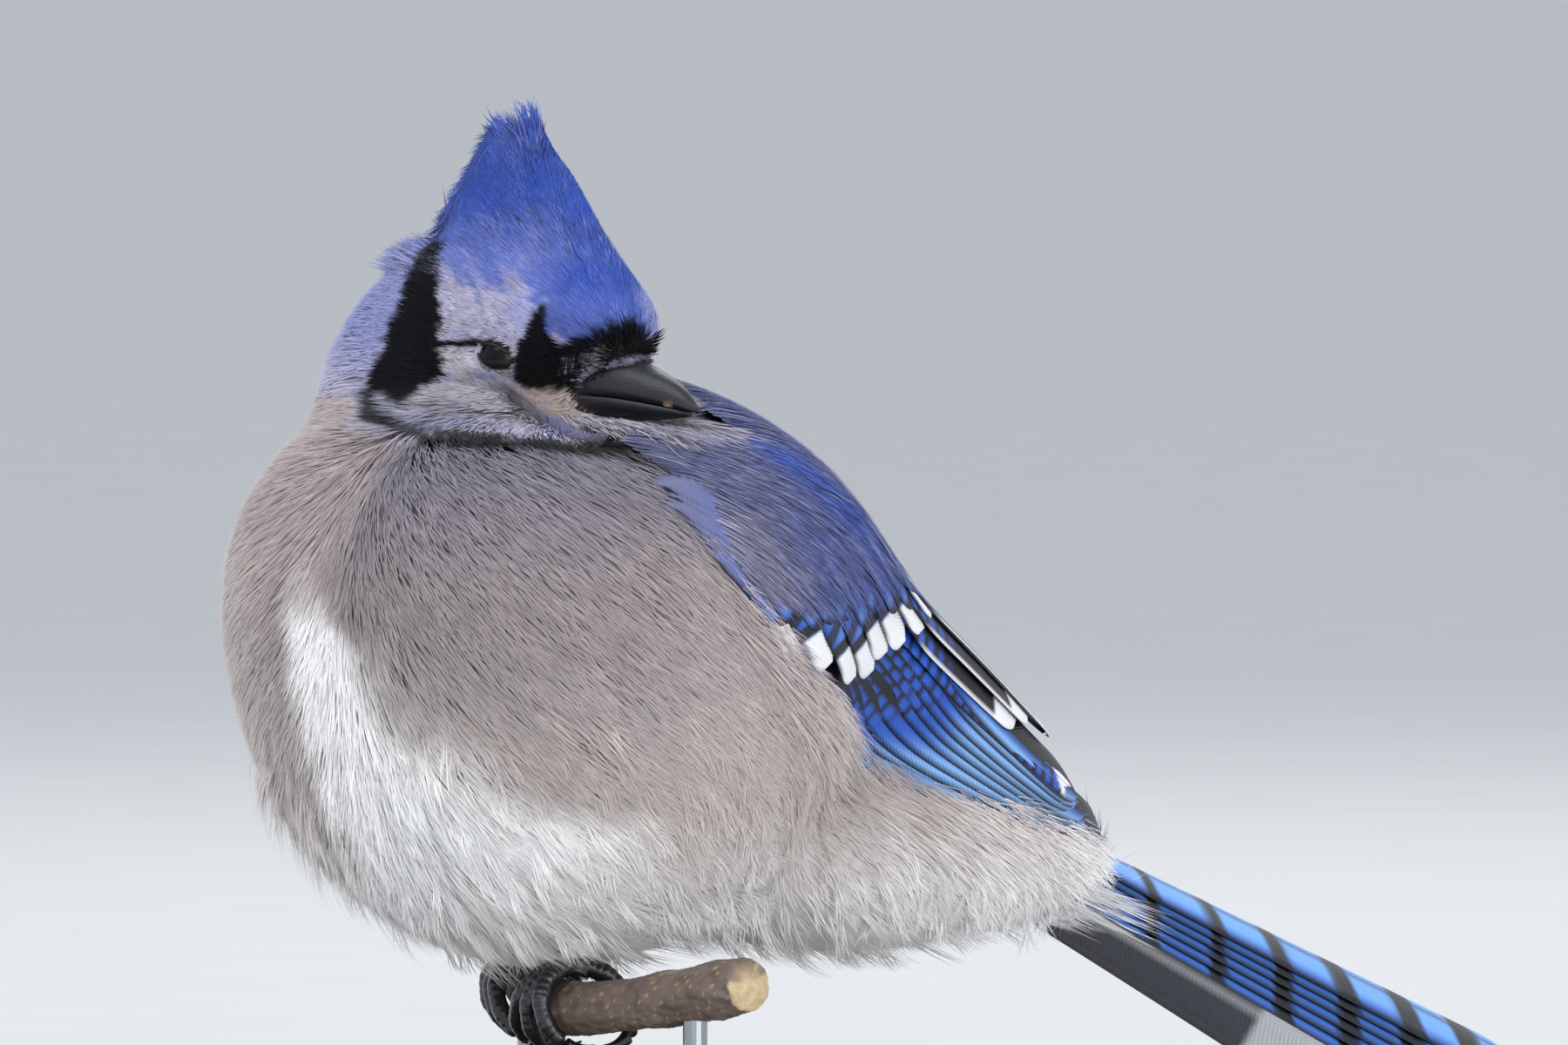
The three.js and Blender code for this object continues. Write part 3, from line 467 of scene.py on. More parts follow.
def painted_horn(name, roughness, coat, streak, scale):
    """Horn: the painted tint with fine lengthwise streaks and pits."""
    material, nodes, links, surface = shader(name, roughness, 0.5, coat=coat)
    wear = noise_on(nodes, links, scale, 5, streak)
    shaded_tint(nodes, links, surface, wear, 0.7, 1.35)
    bump_from(nodes, links, wear, surface, 0.35, 0.0002)
    return material


BREAST_DOWN = plumage_material("breast_down", 0.85, 0.12)
HEAD_DOWN = plumage_material("head_down", 0.75, 0.04, 0.15)
CREST_BARBS = plumage_material("crest_barbs", 0.55, 0.1, 0.35)
SKIN_UNDER = plumage_material("skin_under_coat", 0.9, 0.0)
WING_VANES = vane_material("wing_vanes", 0.42, 0.5)
TAIL_VANES = vane_material("tail_vanes", 0.4, 0.5)
BILL_HORN = painted_horn("bill_horn", 0.4, 0.0, (1, 4, 4), 420)
TOE_HORN = painted_horn("toe_horn", 0.3, 0.3, (1, 1, 1), 900)
LID_SKIN = painted_horn("lid_skin", 0.55, 0.0, (1, 1, 1), 2400)


# Plumage colours, painted by place.

COLORS = {
    name: tint(code)
    for name, code in dict(
        breast="#a89ea1", upper="#94909f", flank="#cfc5c1", belly="#ffffff", dusk="#6d6a78", fawn="#c3b7b6",
        mantle="#686c92", scapular="#545e96", nape="#9399c8", hindneck="#c6c3d3", ash="#85849a",
        crest="#3a58b6", crown="#6073c2", frost="#a3a9da", brow="#b0afc9", cheek="#cdc8d2",
        moustache="#c9c9e2", black="#0c0c12", bristle="#8d8998", sand="#bfae9f",
        cobalt="#2056bf", azure="#86b8f4", sky="#6caaf8", ink="#0a0b14", white="#f6f7fa",
        slate="#3a3f55", gray="#8d8c94", violet="#606ca8", smoke="#7f7f9c",
    ).items()
}

# Height of the line where the flank's coat meets the wing, front to rear.
EDGE_Y = [-24, -16, -13.5, -5.8, 3.9, 25, 44, 60, 84, 100]
EDGE_Z = [90, 82, 69.7, 62.5, 52.4, 42.8, 32, 29.4, 21.1, 14]


def over_wing(p):
    """How far a place lies above the lower front edge of the folded wing."""
    return p[..., 2] - np.interp(p[..., 1], EDGE_Y, EDGE_Z)


def paint(base, color, share):
    """Lays a colour over another by a share for each place."""
    color = COLORS[color] if isinstance(color, str) else color
    return base * (1 - share[..., None]) + color * share[..., None]


def layers(base, shape, *coats):
    """One colour for every place, with others laid over it in turn, each by its share."""
    tone = np.broadcast_to(COLORS[base] if isinstance(base, str) else base, shape)
    for color, share in coats:
        tone = paint(tone, color, share)
    return tone


def body_paint(p):
    """Gray breast, warm flank, white belly with its bright middle streak, blue back, and painted shade
    along the crease.
    """
    x, y, z = p[..., 0], p[..., 1], p[..., 2]
    wander = 3 * grain(p, 9) + 1.5 * grain(p, 3.5, 2)
    right_lobe = soft(x + 0.4 * wander, 6, 13)
    right_edge = np.interp(z, [14, 25, 33, 47, 58, 66], [60, 45, 29, 17, 12, 4])
    fade = np.interp(z, [14, 33, 60], [16, 11, 4])
    streak = soft(x + 0.4 * wander, -4.5, 0) * (1 - soft(x + wander - right_edge, -fade, 0.8 * fade))
    streak *= soft(-y, 10, 30) * (1 - soft(z + wander, 58, 68))
    tone = layers(
        "breast", p.shape,
        ("upper", 0.9 * soft(z + wander, 62, 84) * right_lobe),
        ("fawn", 0.75 * (1 - right_lobe) * soft(z, 50, 66)),
        ("fawn", 0.8 * soft(y + wander, -34, 0) * (1 - soft(z, 60, 80))),
        ("flank", 0.9 * (1 - soft(z + 1.5 * wander, 24, 62))),
        ("flank", 0.8 * soft(-x + wander, 2, 24) * (1 - soft(z, 66, 80))),
        ("belly", 1 - soft(z + wander + 0.12 * np.minimum(y, 0), 4, 32)),
        ("belly", streak),
        # painted shade: a dark stripe along the crease in the down
        ("dusk", 0.6 * np.exp(-((crease_reach(p) / 2.6) ** 2))),
    )
    tone = tone * (1 + 0.05 * grain(p, 4.5, 8) + 0.05 * grain(p, 1.6, 5))[..., None]
    back = soft(over_wing(p) + 0.6 * wander, -2, 5) * soft(y, -26, -12)
    blue = layers(
        "ash", p.shape,
        ("mantle", soft(y + wander, -16, 4)),
        ("scapular", 0.5 * (0.5 + 0.5 * grain(p, 6, 5)) * soft(y, -8, 8)),
    )
    return paint(tone, blue, back)


# Lines of the head's markings in head axes: the brow's upper edge over forward, and the black
# band's rear and front edges over height.
BROW_ALONG = [-18, -12, -4, 2, 6, 9, 12, 20]
BROW_TOP = [12.2, 11.6, 10.4, 12.8, 9.0, 4.4, 3.6, 4.6]
BAND_UP = [-13.6, -13.0, -9.6, -6.2, 1, 8, 15.5, 20]
BAND_REAR = [4, -13, -21.5, -20.2, -18.7, -19.1, -21.4, -24]
FRONT_UP = [-12.4, -10.4, -4.6, 0.6, 5, 10, 15.4, 19]
BAND_FRONT = [2, -6.8, -6.3, -9.9, -10.6, -12.9, -16.3, -19]


def head_paint(p):
    """The face seen from its side: crest, nape, black bridle, brow, lores, cheek and chin."""
    q = in_head(p)
    f, l, u = q[..., 0], q[..., 1], q[..., 2]
    wander = 0.7 * grain(p, 2.2, 1) + 0.4 * grain(p, 1.0, 4)
    collar_low = np.interp(f, [-22, -13, 4, 24, 36], [-9.6, -13.4, -13.8, -12.4, -11.8])
    low = 1 - soft(u + 0.5 * wander - collar_low, -1.4, -0.3)
    nape = layers(
        "nape", p.shape,
        ("hindneck", 1 - soft(u + 3 * wander, -14, 3)),
        ("crown", 0.75 * soft(u + 0.3 * f, 2, 12)),
    )
    edge = np.interp(f, BROW_ALONG, BROW_TOP)
    pale_front = between(l + wander, 0.0, 10, 1.2) * soft(f, 12, 15) * between(u, 3, 12, 1.5)
    spike = 1 - soft(np.abs(f - 6.8) - 2.6 * np.clip((9.6 - u) / 7, 0, 1.4) + 0.5 * wander, -0.2, 0.9)
    spike *= 1 - soft(u, 8.4, 9.6)
    roof = np.interp(f, [3.5, 6.5, 8, 9.5, 11, 12.5, 14], [3.6, 5.0, 4.2, 3.4, 4.0, 5.2, 6.0])
    lore = soft(f + wander, 3.4, 4.6) * soft(u + wander, -5.2, -4.0)
    lore *= 1 - soft(u + 0.5 * wander - roof, -0.4, 0.4)
    lobe = between(l + 0.6 * wander, -7.6, 0.6, 0.8) * soft(f, 13.4, 15.4)
    lobe *= between(u + wander, 0.5, 8.4 - 0.12 * (l + 3.5) ** 2, 0.8)
    rim = soft(f, 15, 17) * between(u + 0.5 * wander, 0.0, 5.6, 0.8)
    line = between(u + 0.3 * wander, 0.6 + 0.16 * (f + 9), 1.9 + 0.16 * (f + 9), 0.35)
    sand = soft(f, 1, 7) * (1 - soft(u + wander, -4.6, -3.4)) * soft(-np.abs(l), -23, -8)
    front = np.interp(u, FRONT_UP, BAND_FRONT)
    rear = np.interp(u, BAND_UP, BAND_REAR)
    streak_up = np.interp(f, [-16, -5, 0, 20], [-9.2, -11.2, -11.5, -10.6])
    under_crest = 1 - soft(u + 1.2 * wander, 14.5, 17.0)
    under = (1 - soft(u + 0.4 * wander - streak_up, -1.0, -0.4)) * (1 - soft(f, 28, 38))
    streak = np.exp(-(((u + 0.3 * wander - streak_up) / 0.75) ** 2)) * between(f, -16, 3, 1.2)
    tone = layers(
        "cheek", p.shape,
        ("dusk", 0.45 * between(u + wander, -3.5, -1.5, 1.2) * soft(f, -8, 2)),
        ("frost", 0.5 * soft(grain(p, 3.0, 7), 0.1, 0.6)),
        ("dusk", 0.5 * soft(grain(p, 0.8, 6), 0.35, 0.7)),
        ("brow", soft(u + wander, 1.0, 3.0)),
        ("cheek", 0.6 * soft(grain(p * np.array([1, 1, 0.5]), 1.3, 2), 0.0, 0.6) * soft(u, 1, 3)),
        ("dusk", 0.45 * soft(grain(p, 0.9, 3), 0.4, 0.7) * soft(u, 1, 3)),
        ("frost", 0.8 * soft(f + wander, -2, 5) * soft(u, 2, 8)),
        ("crown", soft(u + 3.0 * wander - edge, -1.8, 2.2)),
        ("crest", soft(u + 2 * wander - edge, 2.5, 12)),
        ("frost", 0.85 * pale_front),
        ("black", np.clip(spike * soft(u, -4, -3) + lore + lobe + rim, 0, 1)),
        ("black", line * between(f, -11, -3, 0.8)),
        ("sand", 0.7 * sand * soft(u, -10.2, -8.6)),
        ("moustache", between(u - streak_up, -0.2, 1.6, 0.4) * soft(f, -9, -4)),
        ("black", (1 - soft(f + wander - front, -0.7, 0.7)) * under_crest),
        ("black", under),
        ("moustache", 0.9 * streak),
    )
    behind = (1 - soft(f + wander - rear, -0.8, 0.8)) * under_crest
    return mix(tone, nape, behind[..., None]), low


def plumage(p):
    """The whole coat's colour: the head's markings fade into the body's below the collar."""
    head, low = head_paint(p)
    q = in_head(p)
    reach = np.linalg.norm(q - np.array([4, 0, -2]), axis=-1)
    on_head = (1 - low) * (1 - soft(reach, 44, 48)) * (1 - soft(-q[..., 0], 36, 50))
    mantle = soft(q[..., 1], 4, 14) * soft(-q[..., 2], 2, 8)
    return mix(body_paint(p), head, (on_head * (1 - mantle))[..., None])


# The coat's lie.

BILL_ROOT = head_point(18.0, 0, 1.0)
THROAT = np.array([2, -14, 100])
TAIL_END = np.array([0, 118.0, 12])


def lie(p, out):
    """Feathers run away from the bill over the head, then from the throat to the tail, and lean
    to both sides of the crease."""
    away = unit(p - BILL_ROOT)
    body = 0.85 * unit(p - THROAT) + 0.85 * unit(TAIL_END - p)
    aside = np.tanh((p[..., :1] - 8) / 9) * (1 - soft(p[..., 1:2], -10, 30))
    body = body + 0.6 * aside * np.array([1, 0, 0])
    far = np.linalg.norm(p - head_point(2, 0, 0), axis=-1)
    way = mix(away, unit(body), soft(far, 20, 38)[..., None])
    return along_surface(way, out)


def along_surface(way, out):
    """A direction with its part along out taken away."""
    return unit(way - out * np.sum(way * out, -1, keepdims=True))


def scatter(count, weight, rows=220, cols=300):
    """Places on the skin: cells of its map drawn by area and by a weight, then put on the skin."""
    turn = (np.arange(cols) + 0.5) / cols * 2 * np.pi
    rise = (np.arange(rows) + 0.5) / rows * np.pi
    turn, rise = np.meshgrid(turn, rise)
    ray = skin_ray(turn, rise)
    spot = on_skin(ray)
    size = np.linalg.norm(spot - HEART, axis=-1)
    facing = np.abs(np.sum(normal_of(bird_field, spot) * ray, -1))
    share = weight(spot) * size**2 * np.sin(rise) / np.maximum(facing, 0.25)
    share = (share / share.sum()).ravel()
    cell = random.choice(share.size, size=count, p=share)
    i, j = np.divmod(cell, cols)
    turn = (j + random.random(count)) / cols * 2 * np.pi
    rise = (i + random.random(count)) / rows * np.pi
    return on_skin(skin_ray(turn, rise))


# A strand's four stations along it, and its share of full width at the first three.
STRAND_AT = np.array([0, 0.34, 0.7, 1.0])
STRAND_WIDE = np.array([0.75, 1.0, 0.72])

# On a coat's map: the border, the span of all the roots' places, and a strand's own patch.
MAP_EDGE, MAP_SPAN, MAP_PATCH = 0.01, 0.975, 0.003


def strips(name, points, out, width, tone, material, dark=0.9, light=1.05):
    """Tapered strips over four stations each: three cross bars and a point, seven corners in all;
    out is the way their flat side faces. On the map each is a small patch at its root's place,
    seen from the heart."""
    rings = []
    for k in range(3):
        ahead = unit(points[k + 1] - points[k])
        across = unit(np.cross(out, ahead)) * (width * STRAND_WIDE[k] / 2)[:, None]
        rings += [points[k] - across, points[k] + across]
    rings.append(points[3])
    corners = np.stack(rings, 1)
    base = (np.arange(len(corners)) * 7)[:, None]
    quads = np.concatenate([base + np.array([[0, 1, 3, 2]]), base + np.array([[2, 3, 5, 4]])])
    tips = base + np.array([[4, 5, 6]])
    along = STRAND_AT[[0, 0, 1, 1, 2, 2, 3]]
    # painted shade: each strand is darker at its root, deep in the coat, and lighter towards its tip
    colors = tone[:, None] * mix(dark, light, along**0.7)[None, :, None]
    seen = unit(points[0] - HEART)
    u = np.mod(np.arctan2(seen[:, 2], seen[:, 1]) + np.pi / 2, 2 * np.pi)
    v = np.arccos(np.clip(seen[:, 0], -1, 1))
    u = MAP_EDGE + MAP_SPAN * (u - u.min()) / np.ptp(u)
    v = MAP_EDGE + MAP_SPAN * (v - v.min()) / np.ptp(v)
    patch = MAP_PATCH * np.array([0, 1, 0, 1, 0, 1, 0.5])
    uv = np.stack([u[:, None] + patch[None], v[:, None] + MAP_PATCH * along[None]], -1).reshape(-1, 2)
    points, colors = corners.reshape(-1, 3), colors.reshape(-1, 3)
    return add_mesh(name, points, [quads, tips], material, colors, {"OFBake": uv})


def strands(name, root, way, out, length, width, rise, tone, material, droop=0.0, curl=0.12,
            loose=0.0, facing=None):
    """Bent strips. Each leaves its root along the lie, follows the form at a height that grows
    to rise at its tip, bends aside by curl and hangs by droop; a loose one may leave the form
    where it turns away."""
    side = np.cross(out, way)
    bend = curl * (random.random(len(root)) - 0.5) * 2
    depth = coat_depth(root) + 0.2
    hold = 1 - np.broadcast_to(loose, (len(root),))[:, None]
    heading, across, p, before = way, out, root, 0.0
    points = []
    for t in STRAND_AT:
        p = p + heading * (length * (t - before))[:, None]
        height = mix(-depth, rise, t**0.8)[:, None]
        value = bird_field(p)[:, None]
        if 0 < t < 1:
            shifts = np.eye(3) * 0.4
            slope = np.stack([bird_field(p + d) for d in shifts], -1) - value
            across = unit(mix(out, unit(slope), hold))
            heading = heading - across * np.sum(heading * across, -1, keepdims=True)
            heading = unit(heading + side * (bend * t)[:, None])
        p = p + across * np.clip(height - value, -6 * hold, 6)
        p = p - np.array([0, 0, 1]) * (droop * length * (t * t - before * before))[:, None]
        before = t
        points.append(p)
    return strips(name, points, out if facing is None else facing, width, tone, material)


# A root that lies farther than this from the skin is left out.
ROOT_CLOSE = 0.5


def tufts(count, each, weight, spread):
    """Tufts of strands: each strand's root near its tuft's, with the tuft's own number."""
    middle = scatter(count, weight)
    which = np.repeat(np.arange(count), each)
    root = middle[which] + spread * random.normal(size=(count * each, 3))
    root = on_skin(unit(root - HEART))
    found = np.abs(skin_field(root)) < ROOT_CLOSE
    return root[found], which[found]


def spread_tone(tone, which, strong=0.08, weak=0.1):
    """Every tuft and every strand a little lighter or darker."""
    tuft = 1 + strong * random.normal(size=which.max() + 1)[which]
    one = 1 + weak * random.normal(size=len(which))
    return tone * np.clip(tuft * one, 0.55, 1.5)[:, None]


def turned(way, out, angle):
    """A direction turned in the surface by an angle."""
    side = np.cross(out, way)
    return way * np.cos(angle)[:, None] + side * np.sin(angle)[:, None]


def head_reach(p):
    """How far a place lies from the middle of the head."""
    return np.linalg.norm(in_head(p) - np.array([0, 0, 3]), axis=-1)



def covered(p):
    """One where stiff wing feathers hide the down."""
    away = np.abs(p[..., 0]) - np.interp(p[..., 1], [-20, 0, 40, 70], [30, 16, 6, 4])
    return soft(over_wing(p), 0.5, 4) * soft(p[..., 1], -18, -8) * soft(away, 0, 4)


def not_bill(p):
    """Nought inside the bill's own body."""
    q = in_head(p)
    f, u = q[..., 0], q[..., 2]
    inside = (f > 8) & (np.abs(q[..., 1]) < np.interp(f, BILL_ALONG, BILL_HALF))
    inside &= (u < np.interp(f, BILL_ALONG, CULMEN)) & (u > np.interp(f, BILL_ALONG, KEEL))
    return 1.0 - inside


def eye_clear(p):
    """True outside the lids' almond."""
    q = in_head(p)
    return np.hypot((q[..., 0] + 0.1) / 4.2, (q[..., 2] - 0.4) / 2.7) > 1


# The coat: body down in six pieces round the torso, then neck, face, crest, bridges and fringe.

BREAST_END, SIDE_END, BACK_LOW = -28, 18, 62
BODY_PARTS = {
    "breast_left": (0.165, lambda x, y, z: (y < BREAST_END) & (x > 0)),
    "breast_right": (0.155, lambda x, y, z: (y < BREAST_END) & (x <= 0)),
    "side_left": (0.18, lambda x, y, z: (y >= BREAST_END) & (y < SIDE_END) & (x > 0) & (z < BACK_LOW)),
    "flank_left": (0.16, lambda x, y, z: (y >= SIDE_END) & (x > 0) & (z < BACK_LOW)),
    "flank_right": (0.18, lambda x, y, z: (y >= BREAST_END) & (x <= 0) & (z < BACK_LOW)),
    "back": (0.16, lambda x, y, z: (y >= BREAST_END) & (z >= BACK_LOW)),
}


def body_coat():
    """Long down over the body: longer below, close under the wings, parted along the crease."""
    total = 19000
    for name, (share, region) in BODY_PARTS.items():
        def weight(p, region=region):
            open_air = 1 - 0.85 * covered(p)
            dense = 1 + 1.2 * np.exp(-((crease_reach(p) / 6) ** 2))
            here = region(*np.moveaxis(p, -1, 0))
            return here * open_air * soft(head_reach(p), 22, 27) * not_bill(p) * dense

        root, which = tufts(int(total * share), 7, weight, 0.7)
        out = normal_of(bird_field, root)
        n = len(root)
        part = 0.2 * np.exp(-((crease_reach(root) / 4.5) ** 2)) * np.sign(root[:, 0] - 9)
        way = turned(lie(root, out), out, 0.13 * random.normal(size=n) + part)
        y, z = root[:, 1], root[:, 2]
        length = mix(8.5, 12.0, 1 - soft(z, 10, 70)) * (0.7 + 0.55 * random.random(n))
        length = mix(length, 6.5, soft(z, 84, 92))
        length = mix(4.5, length, soft(head_reach(root), 28, 40))
        width = 0.21 * (0.7 + 0.6 * random.random(n))
        rise = 0.1 + 0.45 * random.random(n) ** 2
        hidden = covered(root + way * 4)
        rise = mix(rise, -2.8, hidden)
        edge = between(over_wing(root), -10, 1.0, 2) * soft(y, -24, -12) * (1 - soft(z, 76, 84))
        rise = rise + 2.6 * edge * random.random(n) ** 1.5
        length = length * (1 + 0.25 * edge)
        where = root + way * (0.75 * length)[:, None]
        tone = spread_tone(plumage(where), which, 0.035, 0.075)
        piece = strands("down_" + name, root, way, out, length, width, rise, tone, BREAST_DOWN, droop=0.03)


def neck_coat():
    """Shorter barbs in a ring round the head."""
    n_tufts = 4200

    def weight(p):
        return between(head_reach(p), 19.5, 25, 1.0) * soft(-in_head(p)[..., 0], -30, -20)

    root, which = tufts(n_tufts, 7, weight, 0.5)
    out = normal_of(bird_field, root)
    n = len(root)
    way = turned(lie(root, out), out, 0.16 * random.normal(size=n))
    length = 4.6 * (0.75 + 0.5 * random.random(n))
    tone = spread_tone(plumage(root + way * (0.7 * length)[:, None]), which, 0.06)
    rise = 0.1 + 0.5 * random.random(n)
    piece = strands("down_neck", root, way, out, length, np.full(n, 0.3), rise, tone, HEAD_DOWN)


def face_coat():
    """The finest barbs, smallest round the eyes."""
    n_tufts = 7000

    def weight(p):
        q = in_head(p)
        near = 1 - soft(head_reach(p), 19, 21)
        return near * not_bill(p) * eye_clear(p) * (q[..., 2] < 13.5)

    root, which = tufts(n_tufts, 5, weight, 0.35)
    keep = eye_clear(root)
    root, which = root[keep], which[keep]
    out = normal_of(bird_field, root)
    n = len(root)
    way = turned(lie(root, out), out, 0.14 * random.normal(size=n))
    near_eye = np.hypot(in_head(root)[:, 0] + 1, in_head(root)[:, 2])
    size = mix(1.5, 3.0, soft(near_eye, 4, 9)) * mix(1.0, 1.4, soft(in_head(root)[:, 2], 6, 12))
    length = size * (0.75 + 0.5 * random.random(n))
    tone = spread_tone(plumage(root + way * (0.7 * length)[:, None]), which, 0.06, 0.12)
    rise = 0.1 + 0.35 * random.random(n)
    piece = strands("down_face", root, way, out, length, np.full(n, 0.2), rise, tone, HEAD_DOWN)


CREST_REACH = 60


def crest_coat():
    """Long dark-streaked plumes up the crest, loose at its rear edge and tip."""
    n_tufts = 3800

    def weight(p):
        return soft(in_head(p)[..., 2], 10.5, 12.5) * (head_reach(p) < CREST_REACH)

    root, which = tufts(n_tufts, 8, weight, 0.4)
    keep = head_reach(root) < CREST_REACH
    root, which = root[keep], which[keep]
    q = in_head(root)
    out = normal_of(bird_field, root)
    n = len(root)
    way = turned(lie(root, out), out, 0.1 * random.normal(size=n))
    rear = np.interp(q[:, 2], CREST_UP, CREST_REAR)
    front = np.interp(q[:, 2], CREST_UP, CREST_FRONT)
    outer = np.maximum(1 - soft(q[:, 0] - rear, 0, 6), soft(q[:, 2], 31, 36))
    fore = soft(q[:, 0] - front, -5, -1)
    length = mix(6.5, 8.5, outer) * (0.65 + 0.6 * random.random(n)) * mix(1.0, 0.7, fore)
    rise = 0.1 + 0.4 * random.random(n) + 3.6 * outer * (1 - fore) * random.random(n) ** 1.5
    tone = plumage(root + way * (0.5 * length)[:, None])
    lean = 0.62 * q[:, 0] + 0.78 * q[:, 2]
    across = 0.78 * q[:, 0] - 0.62 * q[:, 2]
    streak = grain(np.stack([0.9 * across, 0.12 * lean, 0.9 * q[:, 1]], -1), 0.8, 9)
    tone = paint(tone, "ink", 0.6 * soft(streak, 0.25, 0.75) * soft(q[:, 2], 11, 18))
    tone = paint(tone, "ink", 0.6 * (np.arange(len(which)) % 6 == 0) * soft(q[:, 2], 11, 20))
    tone = paint(tone, "frost", 0.35 * (1 - soft(streak, -0.7, -0.2)) * soft(q[:, 2], 8, 14))
    tone = paint(tone, "smoke", 0.55 * outer * (1 - fore) * random.random(n) * (1 - soft(q[:, 2], 30, 34)))
    tone = spread_tone(tone, which, 0.12, 0.12)
    flat = unit(mix(out, np.sign(q[:, 1:2]) * LEFT, 0.9 * outer[:, None]))
    piece = strands("crest_plumes", root, way, out, length, np.full(n, 0.24), rise, tone, CREST_BARBS,
                    facing=flat, loose=0.85 * outer)
    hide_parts("crest")


def bridge_coat():
    """Barbs where the skin spans a hollow the heart can't see: black in front of the eyes, and
    in the plumage's own colour elsewhere."""
    spots = HEART + skin_ray(*np.meshgrid(RAY_TURN, RAY_RISE)) * REACH[..., None]
    corner, ahead, below = spots[:-1, :-1], spots[:-1, 1:], spots[1:, :-1]
    size = np.linalg.norm(np.cross(ahead - corner, below - corner), axis=-1)
    middle = (ahead + below) / 2
    loose = np.abs(skin_field(middle)) > 0.35
    near = 1 - soft(head_reach(middle), 24, 30)
    share = (size * loose * (0.25 + near)).ravel()
    n = 7000
    i, j = np.divmod(random.choice(share.size, size=n, p=share / share.sum()), size.shape[1])
    a, b = random.random((2, n, 1))
    root = mix(mix(corner[i, j], ahead[i, j], a), mix(below[i, j], spots[i + 1, j + 1], a), b)
    out = unit(np.cross(ahead[i, j] - corner[i, j], below[i, j] - corner[i, j]))
    out = out * np.sign(np.sum(out * (root - HEART), -1, keepdims=True))
    q = in_head(root)
    way = unit(root - BILL_ROOT + 0.25 * random.normal(size=(n, 3)))
    way = along_surface(way, out)
    length = random.uniform(1.6, 3.4, n)[:, None]
    tip = root + way * length + out * random.uniform(0.3, 1.1, n)[:, None]
    tone = plumage(root)
    front = soft(q[:, 0], 5, 7) * soft(q[:, 2], -5.0, -4.2) * (1 - soft(q[:, 2], 3.5, 5.5))
    tone = paint(tone, "black", front) * (1 + 0.1 * random.normal(size=n))[:, None].clip(0.7, 1.3)
    piece = loose_strands("lore_barbs", root, tip, out, np.full(n, 0.26), tone, HEAD_DOWN, 0.3, 0.9)


def fringe_coat():
    """Long loose locks where the breast and belly turn under, drawn to points and hanging."""
    n_locks = 1300

    def weight(p):
        turned_under = -normal_of(bird_field, p)[..., 2]
        low = soft(turned_under, -0.15, 0.25) * (1 - 0.6 * soft(turned_under, 0.7, 0.9))
        low = low * (1 - soft(p[..., 2], 34, 50))
        return (0.02 + low) * (p[..., 2] < 50) * (over_wing(p) < -1)

    middle = scatter(n_locks, weight)
    each = 12
    which = np.repeat(np.arange(n_locks), each)
    root = on_skin(unit(middle[which] + 1.0 * random.normal(size=(len(which), 3)) - HEART))
    found = np.abs(skin_field(root)) < ROOT_CLOSE
    root, which = root[found], which[found]
    n = len(root)
    out = normal_of(bird_field, root)
    middle_out = normal_of(bird_field, middle)
    lock_way = turned(lie(middle, middle_out), middle_out, 0.3 * random.normal(size=n_locks))
    lock_way = unit(lock_way - np.array([0, 0, 0.7]))
    lock_long = 13.0 * (0.6 + 0.7 * random.random(n_locks))
    shaggy = np.maximum(soft(-middle[:, 0], 2, 12), soft(-middle_out[:, 2], 0.6, 0.9))
    lock_rise = 0.5 + mix(0.8, 4.2, shaggy) * random.random(n_locks) ** 2
    lock_tip = middle + lock_way * lock_long[:, None] + middle_out * lock_rise[:, None]
    lock_tip[:, 2] -= 0.5 + 1.5 * shaggy
    tip = lock_tip[which] + 0.8 * random.normal(size=(n, 3))
    way = unit(tip - root)
    way = along_surface(way, out)
    length = np.linalg.norm(tip - root, axis=-1) * (0.75 + 0.35 * random.random(n))
    tone = spread_tone(plumage(root + way * (0.6 * length)[:, None]), which, 0.05)
    rise = lock_rise[which] + 0.3 * random.random(n)
    piece = strands("fringe", root, way, out, length, np.full(n, 0.24), rise, tone, BREAST_DOWN,
                    droop=0.06, curl=0.05, loose=0.8)


def vent_coat():
    """Long white plumes under the tail's root, lying back along it."""
    n = 3200
    start = random.uniform(6, 33, n)
    side = random.uniform(-14, 14, n)
    low = random.uniform(5.5, 9.5, n) + 0.05 * np.abs(side) ** 1.5
    root = TAIL_ROOT + TAIL_DIR * start[:, None] + TAIL_SIDE * side[:, None] - TAIL_UP * low[:, None]
    reach = random.uniform(14, 25, n)
    spread = 0.15 * side + 1.2 * random.normal(size=n)
    sink = random.uniform(-1.0, 2.5, n)
    tip = root + TAIL_DIR * reach[:, None] + TAIL_SIDE * spread[:, None] - TAIL_UP * sink[:, None]
    out = np.broadcast_to(unit(-TAIL_UP + 0.8 * TAIL_SIDE), (n, 3))
    tone = np.broadcast_to(COLORS["belly"], (n, 3)) * (0.8 + 0.15 * random.random(n))[:, None]
    piece = loose_strands("vent_plumes", root, tip, out, np.full(n, 0.3), tone, BREAST_DOWN, 0.8, 0.9)


SKIN_SHADE = 0.82


def skin():
    """One skin under the whole coat: the rays' map itself, closed at both flanks by a point."""
    turn, rise = np.meshgrid(RAY_TURN[:-1], RAY_RISE[1:-1])
    rows, cols = turn.shape
    spots = HEART + skin_ray(turn, rise) * REACH[1:-1, :-1, None]
    poles = HEART + np.array([[REACH[0, 0], 0, 0], [-REACH[-1, 0], 0, 0]])
    points = np.concatenate([spots.reshape(-1, 3), poles])
    tone = plumage(points) * SKIN_SHADE
    piece = add_mesh("skin", points, closed_faces(rows, cols, inside_out=True), SKIN_UNDER, tone)
    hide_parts("torso", "neck", "head")


# Wing feathers. The left wing's lower and back edges are two curves with three guide points each.

WING_LOW = np.array([[52, -4, 66], [42, 44, 20], [23, 99, 17.0]])
WING_TOP = np.array([[7, -2, 99], [6, 54, 70], [17, 98, 22.0]])


